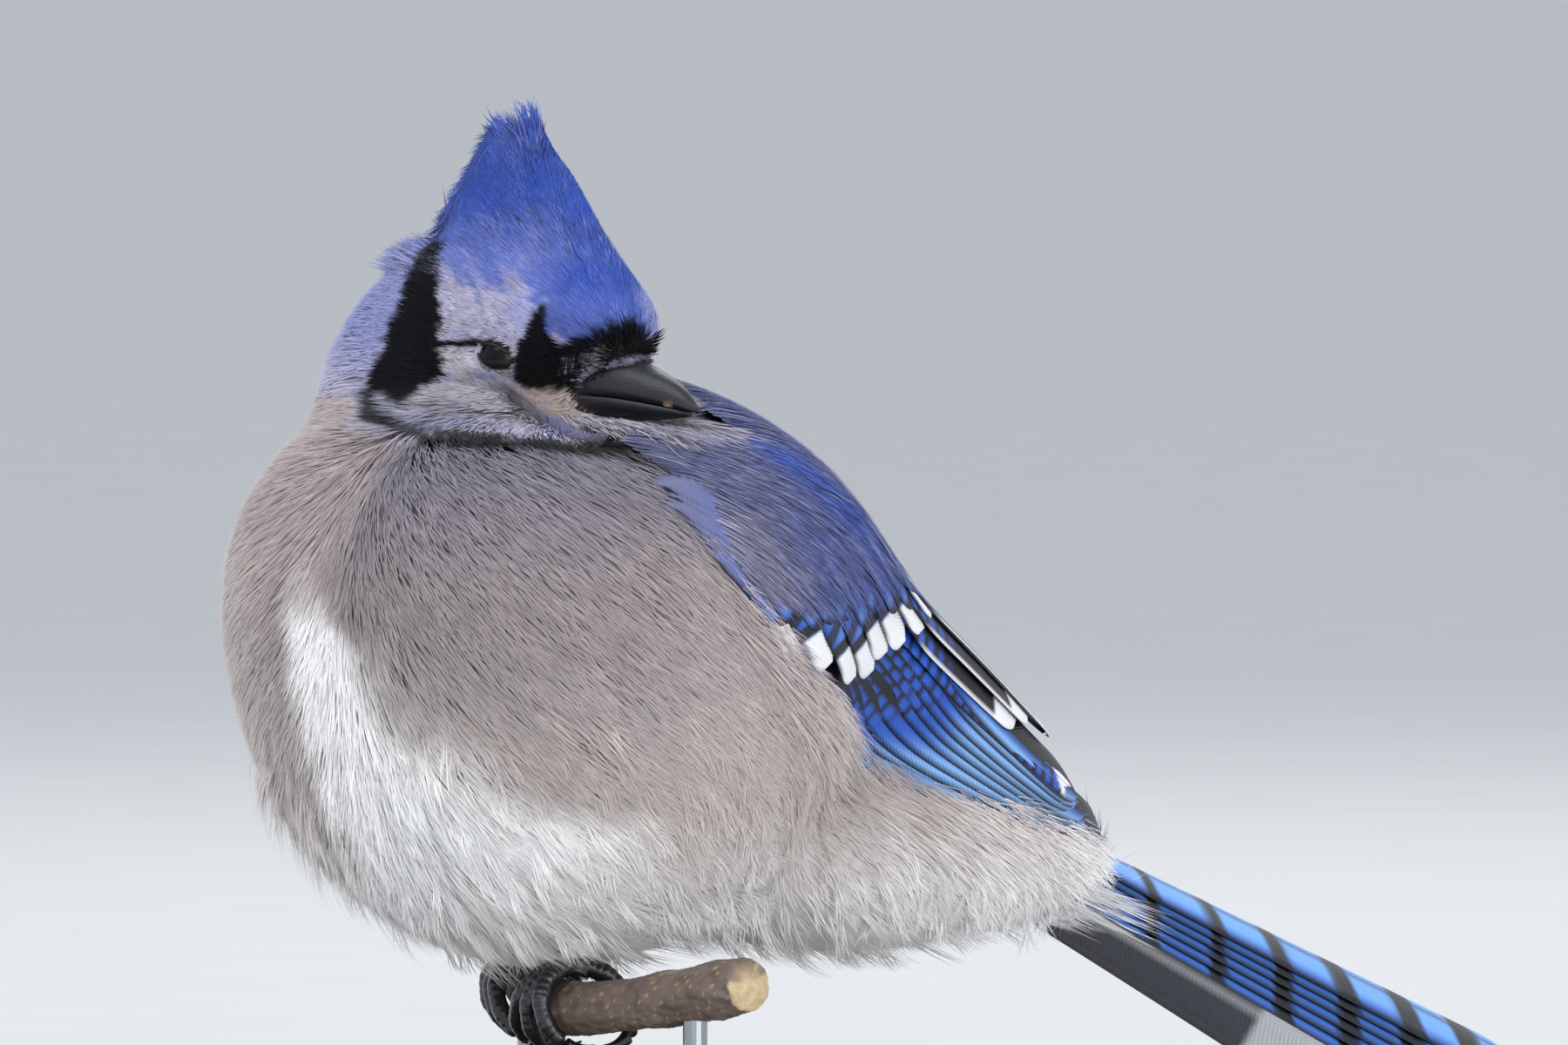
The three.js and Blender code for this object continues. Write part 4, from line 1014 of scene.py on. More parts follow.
def on_wing(s, b, height):
    """A place over the left wing: s along it, b from its lower to its back edge."""
    s, b = np.broadcast_arrays(s, b)
    weights = np.stack([(1 - s) ** 2, 2 * s * (1 - s), s**2], -1)
    p = mix(weights @ WING_LOW, weights @ WING_TOP, b[..., None])
    start = p * np.array([0.25, 0.75, 0.62]) + np.array([0, 2, 12])
    at = edge_along(wing_field, start, unit(p - start), steps=20)
    out = normal_of(wing_field, at)
    return at + out * np.broadcast_to(height, s.shape)[..., None], out


def sheet_faces(rows, cols):
    """Faces of a thin closed sheet: a top grid, a bottom grid and the rim between them."""
    top = grid_faces(rows, cols)
    bottom = top[:, ::-1] + rows * cols
    i, j = np.arange(rows - 1), np.arange(cols - 1)
    edge = np.concatenate([j, (i + 1) * cols - 1, rows * cols - 1 - j, (rows - 1 - i) * cols])
    after = np.roll(edge, -1)
    rim = np.stack([edge, edge + rows * cols, after + rows * cols, after], -1)
    return np.concatenate([top, bottom, rim])


VANE_THICK = 0.22


def vane_bodies(middle, out, half, shape, lean, camber, asym, across):
    """Feathers as thin arched sheets: the middle line is widened to both sides by the outline,
    the shaft side raised by camber, the whole tilted by lean so that neighbours overlap."""
    ahead = unit(np.gradient(middle, axis=1))
    side = unit(np.cross(out, ahead))
    over = np.cross(ahead, side)
    v = np.linspace(-1, 1, across)
    wide = half[:, None] * shape[None, :]
    reach = np.where(v < 0, 1 - asym, 1 + asym) * v
    push = wide[..., None] * reach
    height = camber * (1 - v**2) * half[:, None, None] - lean * push
    side, over = side[:, :, None], over[:, :, None]
    top = middle[:, :, None] + side * push[..., None] + over * height[..., None]
    bottom = top - over * VANE_THICK
    return top, bottom, push


# A sheet's under side is darker than its upper one; the barbs' map runs at so many mm to one.
UNDER_SHADE = 0.5
VANE_MAP = 20


def tier_mesh(top, bottom, push, paint_of, mirror):
    """All feathers of a tier as one mesh, painted by place along and across; the barbs' map
    slants, as along - 1.3 |across|."""
    count, rows, cols = top.shape[:3]
    steps = np.linalg.norm(np.diff(top[:, :, cols // 2], axis=1), axis=-1)
    along = np.concatenate([np.zeros((count, 1)), np.cumsum(steps, 1)], 1)
    full = along[:, -1:, None] + 0 * push
    colors = paint_of(along[..., None] + 0 * push, full, push)
    colors = np.stack([colors, colors * UNDER_SHADE], 1)
    points = np.stack([top, bottom], 1)
    faces = sheet_faces(rows, cols)
    if mirror:
        points = points * np.array([-1, 1, 1])
        faces = faces[:, ::-1]
    faces = (faces[None] + (np.arange(count) * 2 * rows * cols)[:, None, None]).reshape(-1, 4)
    place = np.stack([along[..., None] - 1.3 * np.abs(push), push], -1)
    place = np.stack([place, place], 1).reshape(-1, 2) / VANE_MAP
    return points.reshape(-1, 3), faces, colors.reshape(-1, 3), place


def outline(rows, root, tip, round_from):
    """Stations along a feather, and its width there: grows from the root, holds, rounds off."""
    u = np.linspace(0, 1, rows) ** 0.9
    rise = mix(root, 1, soft(u, 0, 0.4))
    end = np.sqrt(np.clip(1 - (np.clip(u - round_from, 0, 1) / (1 - round_from)) ** 2, 0, 1))
    return u, rise * np.maximum(end, tip)


def tier(count, roots, tips, half, lift, sink, step, lean=0.1, camber=0.12, asym=0.0, rows=40, across=7,
         round_from=0.8, bow=0.0, jitter=0.008, climb=0.25, point=0.08):
    """One tier of vanes. Roots and tips are lines of (s, b) places shared out among the feathers;
    the heights over the wing run from sink at the roots to lift, each feather a step over the last."""
    q = np.linspace(0, 1, count)
    s0, b0 = [np.interp(q, np.linspace(0, 1, len(roots)), np.array(roots)[:, i])[:, None] for i in (0, 1)]
    s1, b1 = [np.interp(q, np.linspace(0, 1, len(tips)), np.array(tips)[:, i])[:, None] for i in (0, 1)]
    s1 = s1 + jitter * random.normal(size=(count, 1))
    u, shape = outline(rows, 0.5, point, round_from)
    s = mix(s0, s1, u[None])
    b = mix(b0, b1, u[None]) + bow * np.sin(np.pi * u)[None]
    height = mix(sink, lift, soft(u, 0, climb))[None] + step * np.arange(count)[:, None]
    middle, out = on_wing(s, b, height)
    size = half * (1 + 0.05 * random.normal(size=count))
    return vane_bodies(middle, out, size, shape, lean, camber, asym, across)


def bars(along, pitch, dark):
    """Black bars across a vane, each dark for a share of the pitch."""
    phase = np.mod(along / pitch, 1)
    return between(phase, 0.5 - dark / 2, 0.5 + dark / 2, 0.07)


def paint_secondary(along, full, push):
    """Azure outer web with a dark edge, barred with black near the coverts; black inner web."""
    rest = full - along
    edge = push / (np.abs(push).max(axis=-1, keepdims=True) + 1e-6)
    near = 1 - soft(along / full, 0.24, 0.32)
    return layers(
        "cobalt", (*along.shape, 3),
        ("azure", soft(along / full, 0.3, 0.5) * (1 - soft(edge, -0.45, -0.2))),
        ("slate", 0.3 * (1 - soft(rest, 0, 16))),
        ("ink", bars(along, 3.0, 0.3) * near),
        ("ink", soft(edge, -0.3, -0.12)),
        ("ink", 1 - soft(edge, -0.74, -0.66)),
    )


def paint_primary(along, full, push):
    """Slate-blue vane with a thin pale outer edge and a dark inner web."""
    return layers(
        "slate", (*along.shape, 3),
        ("cobalt", 0.5 * (1 - soft(along / full, 0.5, 0.8)) * (1 - soft(push, -1.5, 0))),
        ("gray", 1 - soft(push, -3.2, -2.7)),
        ("ink", soft(push, -1.2, -0.6)),
    )


def paint_inner(along, full, push):
    """The innermost long feather: cobalt finely barred with black, a white tip."""
    rest = full - along
    return layers(
        "cobalt", (*along.shape, 3),
        ("ink", bars(along, 2.6, 0.36)),
        ("ink", soft(push, 2.6, 3.4)),
        ("white", 1 - soft(rest - 0.6 * push, 5.0, 5.8)),
        ("ink", 1 - soft(push, -3.6, -3.2)),
    )


def paint_tertial(along, full, push):
    """Black with a thin white outer edge; a broad white end over the outer web."""
    rest = full - along
    return layers(
        "ink", (*along.shape, 3),
        ("cobalt", between(push, -3.4, -1.2, 0.4) * (1 - soft(along / full, 0.4, 0.6))),
        ("ink", bars(along, 3.0, 0.45) * (push < 0)),
        ("white", (1 - soft(rest, 6.5, 7.5)) * (1 - soft(push - 0.25 * rest, -1.0, 0.4))),
        ("white", (1 - soft(push, -4.0, -3.6)) * soft(along / full, 0.3, 0.4)),
    )


def paint_greater(along, full, push):
    """Cobalt with black bars, a black band, then a broad white tip."""
    rest = full - along
    return layers(
        "cobalt", (*along.shape, 3),
        ("azure", 0.35 * soft(push, -3, 0)),
        ("ink", between(rest, 12.0, 14.5, 0.3) * 0.9),
        ("ink", between(rest + 0.5 * push, 7.4, 9.8, 0.25)),
        ("white", 1 - soft(rest + 0.5 * push, 6.9, 7.5)),
        ("ink", 0.8 * (1 - soft(push, -3.6, -3.2)) * soft(rest, 3, 7)),
    )


def paint_median(along, full, push):
    """Violet-blue that brightens to cobalt, ended by a black band."""
    rest = full - along
    return layers(
        "violet", (*along.shape, 3),
        ("cobalt", 1 - soft(rest, 5, 10)),
        ("azure", 0.4 * between(rest, 3.2, 5.5, 0.6)),
        ("ink", 1 - soft(rest, 2.2, 2.8)),
        ("ink", 0.85 * (1 - soft(push, -2.8, -2.4))),
    )


def paint_lesser(along, full, push):
    """Violet-gray with a dark seam along one edge."""
    rest = full - along
    return layers(
        "mantle", (*along.shape, 3),
        ("violet", soft(along / full, 0.2, 0.9) * 0.8),
        ("ink", 0.3 * (1 - soft(push, -1.8, -1.4)) * soft(rest, 0, 2)),
    )


LESSER_ROWS, LESSER_IN_ROW = 6, 22


def wing_tiers():
    """All tiers of the left wing, the lowest layer first."""
    lesser_rows = []
    for k in range(LESSER_ROWS):
        start = mix(-0.22, -0.015, k / (LESSER_ROWS - 1))
        tips = [[start, -0.1], [start + 0.19, 0.16], [start + 0.34, 0.44], [start + 0.6, 0.9]]
        roots = [[s - 0.13, b] for s, b in tips]
        lift = 0.1 + 0.07 * (LESSER_ROWS - 1 - k)
        row = tier(LESSER_IN_ROW, roots, tips, 2.0, lift, -1.6, 0.0, 0.06, 0.1, rows=10, across=5,
                   round_from=0.35, jitter=0.014, point=0.12)
        behind = over_wing(row[0][:, 5, 2]) > 1.0
        lesser_rows.append(([part[behind] for part in row], paint_lesser))
    return [
        (tier(8, [[0.34, 0.08], [0.4, 0.26]], [[0.84, 0.07], [1.04, 0.24]], 3.3, -1.6, -3.2, 0.1, 0.1,
              asym=0.25, rows=60), paint_primary),
        (tier(11, [[0.1, -0.04], [0.3, 0.26], [0.38, 0.46]], [[0.72, 0.1], [0.84, 0.2], [0.78, 0.34]], 4.3,
              -1.2, -2.8, 0.1, 0.12, asym=0.1, rows=80, bow=-0.01), paint_secondary),
        (tier(1, [[0.33, 0.42]], [[0.765, 0.36]], 4.0, -0.2, -2.2, 0.2, 0.12, rows=80, across=9,
              round_from=0.9, jitter=0), paint_inner),
        (tier(3, [[0.3, 0.46], [0.31, 0.6]], [[0.62, 0.45], [0.66, 0.53], [0.745, 0.63]], 4.6, 0.1, -2.2,
              0.22, 0.1, rows=80, across=9, round_from=0.88, jitter=0), paint_tertial),
        (tier(8, [[-0.07, -0.08], [0.09, 0.1], [0.17, 0.27], [0.23, 0.42], [0.28, 0.58]],
              [[0.08, -0.1], [0.235, 0.06], [0.32, 0.24], [0.385, 0.38], [0.45, 0.56]], 4.1, -0.35, -2.2,
              0.1, 0.13, rows=50, across=9, round_from=0.8, jitter=0.012), paint_greater),
        (tier(10, [[-0.14, -0.08], [0.25, 0.58]], [[0.03, -0.1], [0.415, 0.56]], 3.2, 0.0, -1.8, 0.07,
              0.13, rows=40, across=7, round_from=0.8, jitter=0.007), paint_median),
    ] + lesser_rows[::-1]


def join_parts(parts):
    """Sets of points, faces, colours and map places as one set."""
    points, faces, colors, place = zip(*parts)
    starts = np.cumsum([0] + [len(p) for p in points[:-1]])
    faces = [f + start for f, start in zip(faces, starts)]
    return [np.concatenate(a) for a in (points, faces, colors, place)]


def wing_paint(s, b):
    """Soft shoulder and scapular barbs: gray-violet in front, cobalt streaks along the back."""
    p, _ = on_wing(s, b, 0)
    wander = grain(p, 7, 3)
    streak = np.exp(-(((b - 0.5 - 0.05 * wander) / 0.06) ** 2)) * between(s, 0.0, 0.24, 0.05)
    return layers(
        "mantle", p.shape,
        ("violet", soft(s + 0.05 * wander, -0.1, 0.2)),
        ("scapular", 0.7 * soft(s + 0.3 * b + 0.05 * wander, 0.05, 0.3)),
        ("ash", 0.8 * (1 - soft(b + 0.9 * s + 0.1 * wander, -0.12, 0.2))),
        ("cobalt", 0.6 * streak),
    )


# The block in head axes that the shoulder's barbs leave free for the bill.
BILL_FREE = (36, 10, -8.5)


def shoulder_down():
    """Long fine barbs over the lesser coverts and scapulars, so their rows run together."""
    n = 18000
    b = random.uniform(-0.12, 0.95, n)
    last = np.interp(b, [-0.1, 0.16, 0.44, 0.9], [-0.05, 0.14, 0.29, 0.5])
    s = last - 0.02 - (0.36 + 0.1 * b) * random.random(n) ** 0.8
    root, out = on_wing(s, b, -0.2)
    q = in_head(root)
    by_bill = (q[:, 0] < BILL_FREE[0]) & (np.abs(q[:, 1]) < BILL_FREE[1]) & (q[:, 2] > BILL_FREE[2])
    keep = (over_wing(root) > 0.5) & ~by_bill
    root, out, s, b = root[keep], out[keep], s[keep], b[keep]
    n = len(root)
    reach = random.uniform(0.06, 0.1, n)
    lock = 0.5 + 0.5 * grain(np.stack([60 * b, 9 * s, 0 * s], -1), 1.0, 4)
    tip, _ = on_wing(s + reach, b + 0.012 * random.normal(size=n), 0.9 + 0.6 * random.random(n))
    tone = wing_paint(s, b) * (1 + 0.14 * random.normal(size=n))[:, None].clip(0.6, 1.5)
    tone = tone * mix(0.8, 1.15, lock)[:, None]
    tone = paint(tone, "ink", 0.8 * (random.random(n) < 0.1))
    tone = paint(tone, "hindneck", 0.5 * (random.random(n) < 0.06))
    width = random.uniform(0.18, 0.32, n)
    for name, flip in (("shoulder_left", 1), ("shoulder_right", -1)):
        mirror = np.array([flip, 1, 1])
        ends = root * mirror, tip * mirror, out * mirror
        piece = loose_strands(name, *ends, width, tone, HEAD_DOWN, 0.45, 0.8)


def wings():
    """Each wing as one piece of vanes, the right one mirrored."""
    shoulder_down()
    tiers = wing_tiers()
    for name, mirror in (("wing_left", False), ("wing_right", True)):
        parts = [tier_mesh(*bodies, look, mirror) for bodies, look in tiers]
        points, faces, colors, place = join_parts(parts)
        piece = add_mesh(name + "_vanes", points, faces, WING_VANES, colors, {"vane": place})
        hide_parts(name)


# Tail.

TAIL_ROOT = np.array([4.3, 64, 34])
TAIL_DIR = unit(np.array([0.187, 0.893, -0.409]))
TAIL_SIDE = -unit(np.cross([0, 0, 1], TAIL_DIR))
TAIL_UP = unit(np.cross(TAIL_SIDE, TAIL_DIR))
TAIL_LENGTH, TAIL_ARCH = 126, 0.13
TAIL_EDGE, TAIL_STEP_OUT, TAIL_HALF, TAIL_NARROW = 15.2, 1.5, 9.6, 0.35
TAIL_STEP_DOWN, TAIL_THICK = 0.8, 0.24
FIRST_BAR, BAR_GAP = 49.0, 13.6


def paint_tail(rank):
    """Sky-blue with widening black bars on the middle pair; the others show dark-edged cobalt outer
    webs and white tips. Below, all are gray with a pale shaft."""

    def look(along, full, across, under):
        number = (along - FIRST_BAR) / BAR_GAP
        dark = np.clip(0.2 + 0.05 * number, 0, 0.42)
        band = between(np.mod(number + 0.5, 1), 0.5 - dark / 2, 0.5 + dark / 2, 0.03) * (number > -0.4)
        white_tip = 1 - soft(full - along + 3 * across, 14, 16)
        shape = (*along.shape, 3)
        if under:
            tone = layers(
                tint("#4a4b55"), shape,
                ("ink", 0.35 * soft(across, 0.55, 1)),
                ("white", 0.5 * (1 - soft(np.abs(across), 0.03, 0.07))),
            )
            return paint(tone, "white", 0.9 * white_tip) if rank else tone
        if rank:
            return layers(
                "sky", shape,
                ("cobalt", np.full(along.shape, 0.75)),
                ("ink", band),
                ("ink", np.maximum(1 - soft(across, 0.6, 0.7), 0.9 * soft(across, 0.9, 0.97))),
                ("white", white_tip),
            )
        return layers(
            "sky", shape,
            ("cobalt", 0.8 * soft(across, 0.6, 0.85)),
            ("ink", band),
            ("ink", soft(across, 0.94, 0.98)),
            ("ink", 0.7 * (1 - soft(np.abs(across), 0.01, 0.03))),
        )

    return look


def tail_feather(rank, side, rows=90, across=11):
    """One tail feather: laid over the tail's roof, whose fall grows as distance to the power 1.5."""
    u, shape = outline(rows, 0.6, 0.25, 0.93)
    along = mix(2.0, TAIL_LENGTH - 0.75 * rank**2 - 0.4 * rank, u)[:, None]
    half = TAIL_HALF - TAIL_NARROW * rank
    fan = mix(0.45, 1, u)[:, None]
    middle = (TAIL_EDGE + TAIL_STEP_OUT * rank - half) * fan
    v = np.linspace(-1, 1, across)[None]
    away = middle + half * shape[:, None] * v * fan**0.5
    layer = rank + (0 if side > 0 else 0.5)
    down = TAIL_ARCH * np.abs(away) ** 1.5 + TAIL_STEP_DOWN * layer * np.minimum(4 * u, 1)[:, None]
    down = down - 0.25 * (1 - v**2)
    place = TAIL_ROOT + TAIL_DIR * along[..., None] + TAIL_SIDE * (side * away)[..., None]
    top = place - TAIL_UP * (down + 0.3)[..., None]
    bottom = top - TAIL_UP * TAIL_THICK
    return top, bottom, along + 0 * away, v + 0 * away, half


def tail():
    """All twelve tail feathers as one piece, the outermost pair lowest."""
    parts = []
    for rank in range(5, -1, -1):
        for side in (-1, 1):
            top, bottom, along, v, half = tail_feather(rank, side)
            look = paint_tail(rank)
            full = along.max()
            colors = np.stack([look(along, full, v, False), look(along, full, v, True)])
            rows, cols = along.shape
            faces = sheet_faces(rows, cols)
            faces = faces[:, ::side]
            place = np.stack([along - 0.8 * half * np.abs(v), half * v], -1)
            place = np.stack([place, place]).reshape(-1, 2) / VANE_MAP
            points = np.stack([top, bottom]).reshape(-1, 3)
            parts.append((points, faces, colors.reshape(-1, 3), place))
    points, faces, colors, place = join_parts(parts)
    piece = add_mesh("tail_vanes", points, faces, TAIL_VANES, colors, {"vane": place})
    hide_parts("tail")


# Bill.

def smooth_line(x, xs, ys):
    """A line through given heights with its corners rounded by averaging three close readings."""
    near = [np.interp(x + d, xs, ys) for d in (-1.2, -0.4, 0.4, 1.2)]
    return np.mean(near, 0)


# A tan chip near the bill's tip, and its size forward, left and up.
CHIP_AT = np.array([28.3, -1.9, -4.3])
CHIP_SIZE = np.array([1.1, 1.6, 0.55])


def bill(upper):
    """Half-round rings along the bill between the mouth line and the culmen or lower keel."""
    rows, cols = 60, 28
    end = 33.2 if upper else 31.4
    along = 7 + (end - 7) * np.linspace(0, 1, rows) ** 0.8
    mouth = smooth_line(along, BILL_ALONG, MOUTH) - (0 if upper else 0.25)
    crest = smooth_line(along, BILL_ALONG, CULMEN if upper else KEEL)
    half = smooth_line(along, BILL_ALONG, BILL_HALF)
    half = half * np.sqrt(np.clip((end + 0.15 - along) / 2.2, 0.02, 1))
    turn = np.linspace(0, np.pi, cols)
    side = half[:, None] * np.cos(turn)[None]
    arch = np.sin(turn)[None] ** mix(0.8, 0.62, np.linspace(0, 1, rows))[:, None]
    rise = mouth[:, None] + (crest - mouth)[:, None] * arch
    outer = head_point(along[:, None] + 0 * side, side, rise)
    back = head_point(along[:, None] + 0 * side, side[:, ::-1] * 0.98, mouth[:, None] + 0 * side)
    ring = np.concatenate([outer, back[:, 1:-1]], 1)
    ends = [head_point(7.0, 0, mouth[:1]), head_point(end + 0.1, 0, mouth[-1:])]
    points = np.concatenate([ring.reshape(-1, 3), *ends])
    q = in_head(points)
    off_mouth = np.abs(q[:, 2] - np.interp(q[:, 0], BILL_ALONG, MOUTH))
    chip = np.linalg.norm((q - CHIP_AT) / CHIP_SIZE, axis=1)
    tone = layers(
        tint("#1d1f26"), points.shape,
        # painted highlight: the upper part towards the tip is lighter and bluer, a painted sheen
        (tint("#343744"), 0.5 * soft(q[:, 2], -2, 2) * soft(q[:, 0], 14, 22)),
        (tint("#14151a"), 0.8 * (1 - soft(off_mouth, 0.1, 0.5))),
        (tint("#b79b7c"), 1 - soft(chip, 0.6, 1.1)),
    )
    name = "bill_upper" if upper else "bill_lower"
    faces = closed_faces(rows, ring.shape[1], inside_out=not upper)
    piece = add_mesh(name + "_horn", points, faces, BILL_HORN, tone)
    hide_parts(name)


# Barbs of the nasal tufts, of the fan at each corner of the mouth, and of the chin.
NASAL, GAPE, CHIN_BARBS = 4200, 1100, 2600


def bristle_patch(count, *ranges):
    """Random places in a block given by its ranges forward, left and up."""
    return [random.uniform(*one, count) for one in ranges]


def loose_strands(name, root, tip, out, width, tone, material, arch=0.5, dark=0.6):
    """Free strips from root to tip, arched outward in the middle."""
    points = [mix(root, tip, t) + out * (arch * np.sin(np.pi * t)) for t in STRAND_AT]
    return strips(name, points, out, width, tone, material, dark, 1.12)


def bristles():
    """Nasal tufts lying forward on the bill, fans at the gape, and chin tufts."""
    parts = [nasal_tufts(NASAL), gape_fan(GAPE, -1), gape_fan(GAPE, 1), chin_tufts(CHIN_BARBS)]
    root, tip, out, width, tone = [np.concatenate(a) for a in zip(*parts)]
    piece = loose_strands("face_bristles", root, tip, out, width, tone, HEAD_DOWN)


def bill_size(along):
    """The upper half's height over its mouth line, and its half width."""
    tall = smooth_line(along, BILL_ALONG, CULMEN) - MOUTH[1]
    return tall, smooth_line(along, BILL_ALONG, BILL_HALF)


def nasal_tufts(n):
    """Barbs round the bill's upper half, turned from its top to each side, dark at their base."""
    turn = random.uniform(-1.5, 1.5, n)
    last = mix(20.6, 13.0, soft(np.abs(turn), 0.5, 1.45))
    start = 9.0 + (last - 11.0) * random.random(n)
    tall, half = bill_size(start)
    root = head_point(start, half * np.sin(turn), MOUTH[1] + tall * np.cos(turn) ** 0.8 * 0.98)
    end = np.minimum(start + random.uniform(2.0, 4.4, n), last)
    tall, half = bill_size(end)
    lift = random.uniform(0.3, 2.3, n) * (0.35 + 0.65 * soft(last - end, 0, 4))
    swing = turn + 0.12 * random.normal(size=n)
    tip = head_point(end, (half + lift) * np.sin(swing), MOUTH[1] + (tall + lift) * np.cos(turn) ** 0.8)
    out = unit(tip - head_point(end, 0, MOUTH[1]))
    tone = layers(
        "bristle", (n, 3),
        ("frost", 0.5 * (random.random(n) < 0.2)),
        ("black", 0.85 * (random.random(n) < 0.22)),
        ("black", 1 - soft(start + 0.8 * random.normal(size=n), 10.0, 11.4)),
    )
    tone = tone * (0.7 + 0.5 * random.random(n))[:, None]
    return root, tip, out, np.full(n, 0.2), tone


def gape_fan(n, side):
    """Short sandy barbs that fan back from the corner of the mouth."""
    f, l, u = bristle_patch(n, (7.0, 11.5), (6.0, 10.0), (-9.0, -5.0))
    root = on_skin(unit(head_point(f, side * l, u) - HEART))
    q = in_head(root)
    reach = random.uniform(2.5, 5.0, n)
    angle = np.radians(random.uniform(160, 255, n))
    back, fall = reach * np.cos(angle), 0.6 * reach * np.sin(angle)
    tip = head_point(q[:, 0] + back, q[:, 1] + side * random.uniform(0.8, 1.8, n), q[:, 2] + fall)
    out = unit(tip - head_point(4, 0, -3))
    tone = COLORS["sand"] * (0.75 + 0.5 * random.random(n))[:, None]
    tone = paint(tone, "dusk", 0.7 * (random.random(n) < 0.2))
    return root, tip, out, np.full(n, 0.18), tone


def chin_tufts(n):
    """Pale barbs under the bill, swept forward over the breast."""
    f, l, u = bristle_patch(n, (11, 33), (-9, 8), (-9.6, -7.6))
    root = head_point(f, l, u)
    reach = random.uniform(4, 9, n)
    tip = root + FORWARD * (reach * 0.8)[:, None] + LEFT * (l * 0.25)[:, None]
    tip = tip - UP * (random.uniform(-0.05, 0.3, n) * reach)[:, None]
    keep = (in_head(tip)[:, 2] < -8.2) | (np.abs(in_head(tip)[:, 1]) > 6)
    root, tip, f = root[keep], tip[keep], f[keep]
    n = len(root)
    out = np.broadcast_to(unit(-LEFT * 0.6 + UP * 0.3), (n, 3))
    tone = COLORS["cheek"] * (0.75 + 0.4 * random.random(n))[:, None]
    tone = paint(tone, "dusk", 0.8 * (random.random(n) < 0.25))
    tone = paint(tone, "ash", 0.6 * soft(f, 22, 32))
    return root, tip, out, np.full(n, 0.2), tone


# Eyes.

EYE_RADIUS, EYE_SPREAD = 4.6, 9.2
PUPIL_REACH, IRIS_REACH = (1.9, 2.2), (3.4, 4.0)
LID_HALF, LID_ABOVE, LID_BELOW = 3.5, 1.6, 1.95
LOWER_BEADS = 26


def eye_material():
    """A wet ball with fine fibres in its tint."""
    material, nodes, links, surface = shader("eye", 0.06, 0.25)
    fibres = noise_on(nodes, links, 1500, 4)
    shaded_tint(nodes, links, surface, fibres, 0.7, 1.4)
    return material


def eyes():
    """A ball in each socket; iris and pupil lie round the outward axis, turned a little forward."""
    wet = eye_material()
    rows, cols = 40, 64
    polar = np.linspace(0, np.pi, rows + 2)[1:-1]
    turn = np.linspace(0, 2 * np.pi, cols, endpoint=False)
    for side, name in ((-1, "eye_right"), (1, "eye_left")):
        centre = head_point(-1, side * EYE_SPREAD, 0)
        axis = unit(side * LEFT + 0.1 * FORWARD)
        first = unit(np.cross(axis, UP))
        second = np.cross(axis, first)
        ray = (
            axis * np.cos(polar)[:, None, None]
            + first * (np.sin(polar)[:, None] * np.cos(turn))[..., None]
            + second * (np.sin(polar)[:, None] * np.sin(turn))[..., None]
        )
        poles = centre + EYE_RADIUS * np.stack([axis, -axis])
        points = np.concatenate([(centre + EYE_RADIUS * ray).reshape(-1, 3), poles])
        off = np.arccos(np.clip((points - centre) @ axis / EYE_RADIUS, -1, 1)) * EYE_RADIUS
        pupil, iris_edge = 1 - soft(off, *PUPIL_REACH), soft(off, *IRIS_REACH)
        tone = layers(tint("#1a100c"), points.shape, (tint("#040304"), pupil), (tint("#0a0706"), iris_edge))
        piece = add_mesh(name + "_ball", points, closed_faces(rows, cols), wet, tone)
        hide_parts(name)
        lid(side, centre)


def lid(side, centre):
    """A beaded rim: from an almond opening out over the ball and down into the face coat."""
    rows, cols = 14, 120
    turn = np.linspace(0, 2 * np.pi, cols, endpoint=False)
    across = np.linspace(0, 1, rows)[:, None]
    grow = mix(1.0, 1.5, across)
    f = LID_HALF * np.cos(turn)[None] * grow
    tall = np.where(np.sin(turn) > 0, LID_ABOVE, LID_BELOW)
    u = (tall * np.sin(turn))[None] * (1 - 0.2 * np.abs(np.cos(turn)))[None] * grow - 0.2 * f + 0.4
    f = f + 0.75
    beads = 0.09 * np.cos(turn * 34)[None] * np.exp(-(((across - 0.12) / 0.1) ** 2))
    beads = beads + 0.07 * np.cos(turn * LOWER_BEADS + 1)[None] * np.exp(-(((across - 0.42) / 0.14) ** 2))
    radius = EYE_RADIUS + 0.1 + 0.3 * np.sin(np.pi * np.clip(across * 1.2, 0, 1)) ** 0.7 + beads
    far = np.minimum(np.hypot(f, u), radius - 0.4)
    scale = far / np.maximum(np.hypot(f, u), 1e-6)
    f, u = f * scale, u * scale
    depth = np.sqrt(radius**2 - f**2 - u**2)
    q = np.stack([f - 1, side * (EYE_SPREAD + depth), u], -1)
    front = head_point(q[..., 0], q[..., 1], q[..., 2])
    inner = front + (centre - front) * 0.12
    points = np.concatenate([front, inner[::-1]], 0)
    count = 2 * rows
    faces = grid_faces(count, cols, wrap=True)
    seam = grid_faces(2, cols, wrap=True)
    seam = np.where(seam < cols, seam + (count - 1) * cols, seam - cols)
    faces = np.concatenate([faces, seam])
    if side > 0:
        faces = faces[:, ::-1]
    lower = soft(-np.sin(turn), -0.1, 0.25)[None] + 0 * across
    ring = between(across, 0.26, 0.7, 0.06) * lower
    dots = (np.cos(turn * 30) > 0.1)[None] * between(across, 0.68, 0.84, 0.05) * lower
    tone = layers(
        tint("#0e0d12"), front.shape,
        (tint("#8f8b8e"), ring * (0.75 + 0.25 * np.cos(turn * LOWER_BEADS + 1)[None])),
        (tint("#15141a"), dots),
        (tint("#a9a6b2"), between(across, 0.9, 1.2, 0.05) * lower),
    )
    # painted shade: the rim's inner sheet repeats its colours at half brightness
    tone = np.concatenate([tone, tone[::-1] * 0.5], 0)
    name = "lid_left" if side > 0 else "lid_right"
    piece = add_mesh(name, points.reshape(-1, 3), faces, LID_SKIN, tone.reshape(-1, 3))


# Twig and feet.

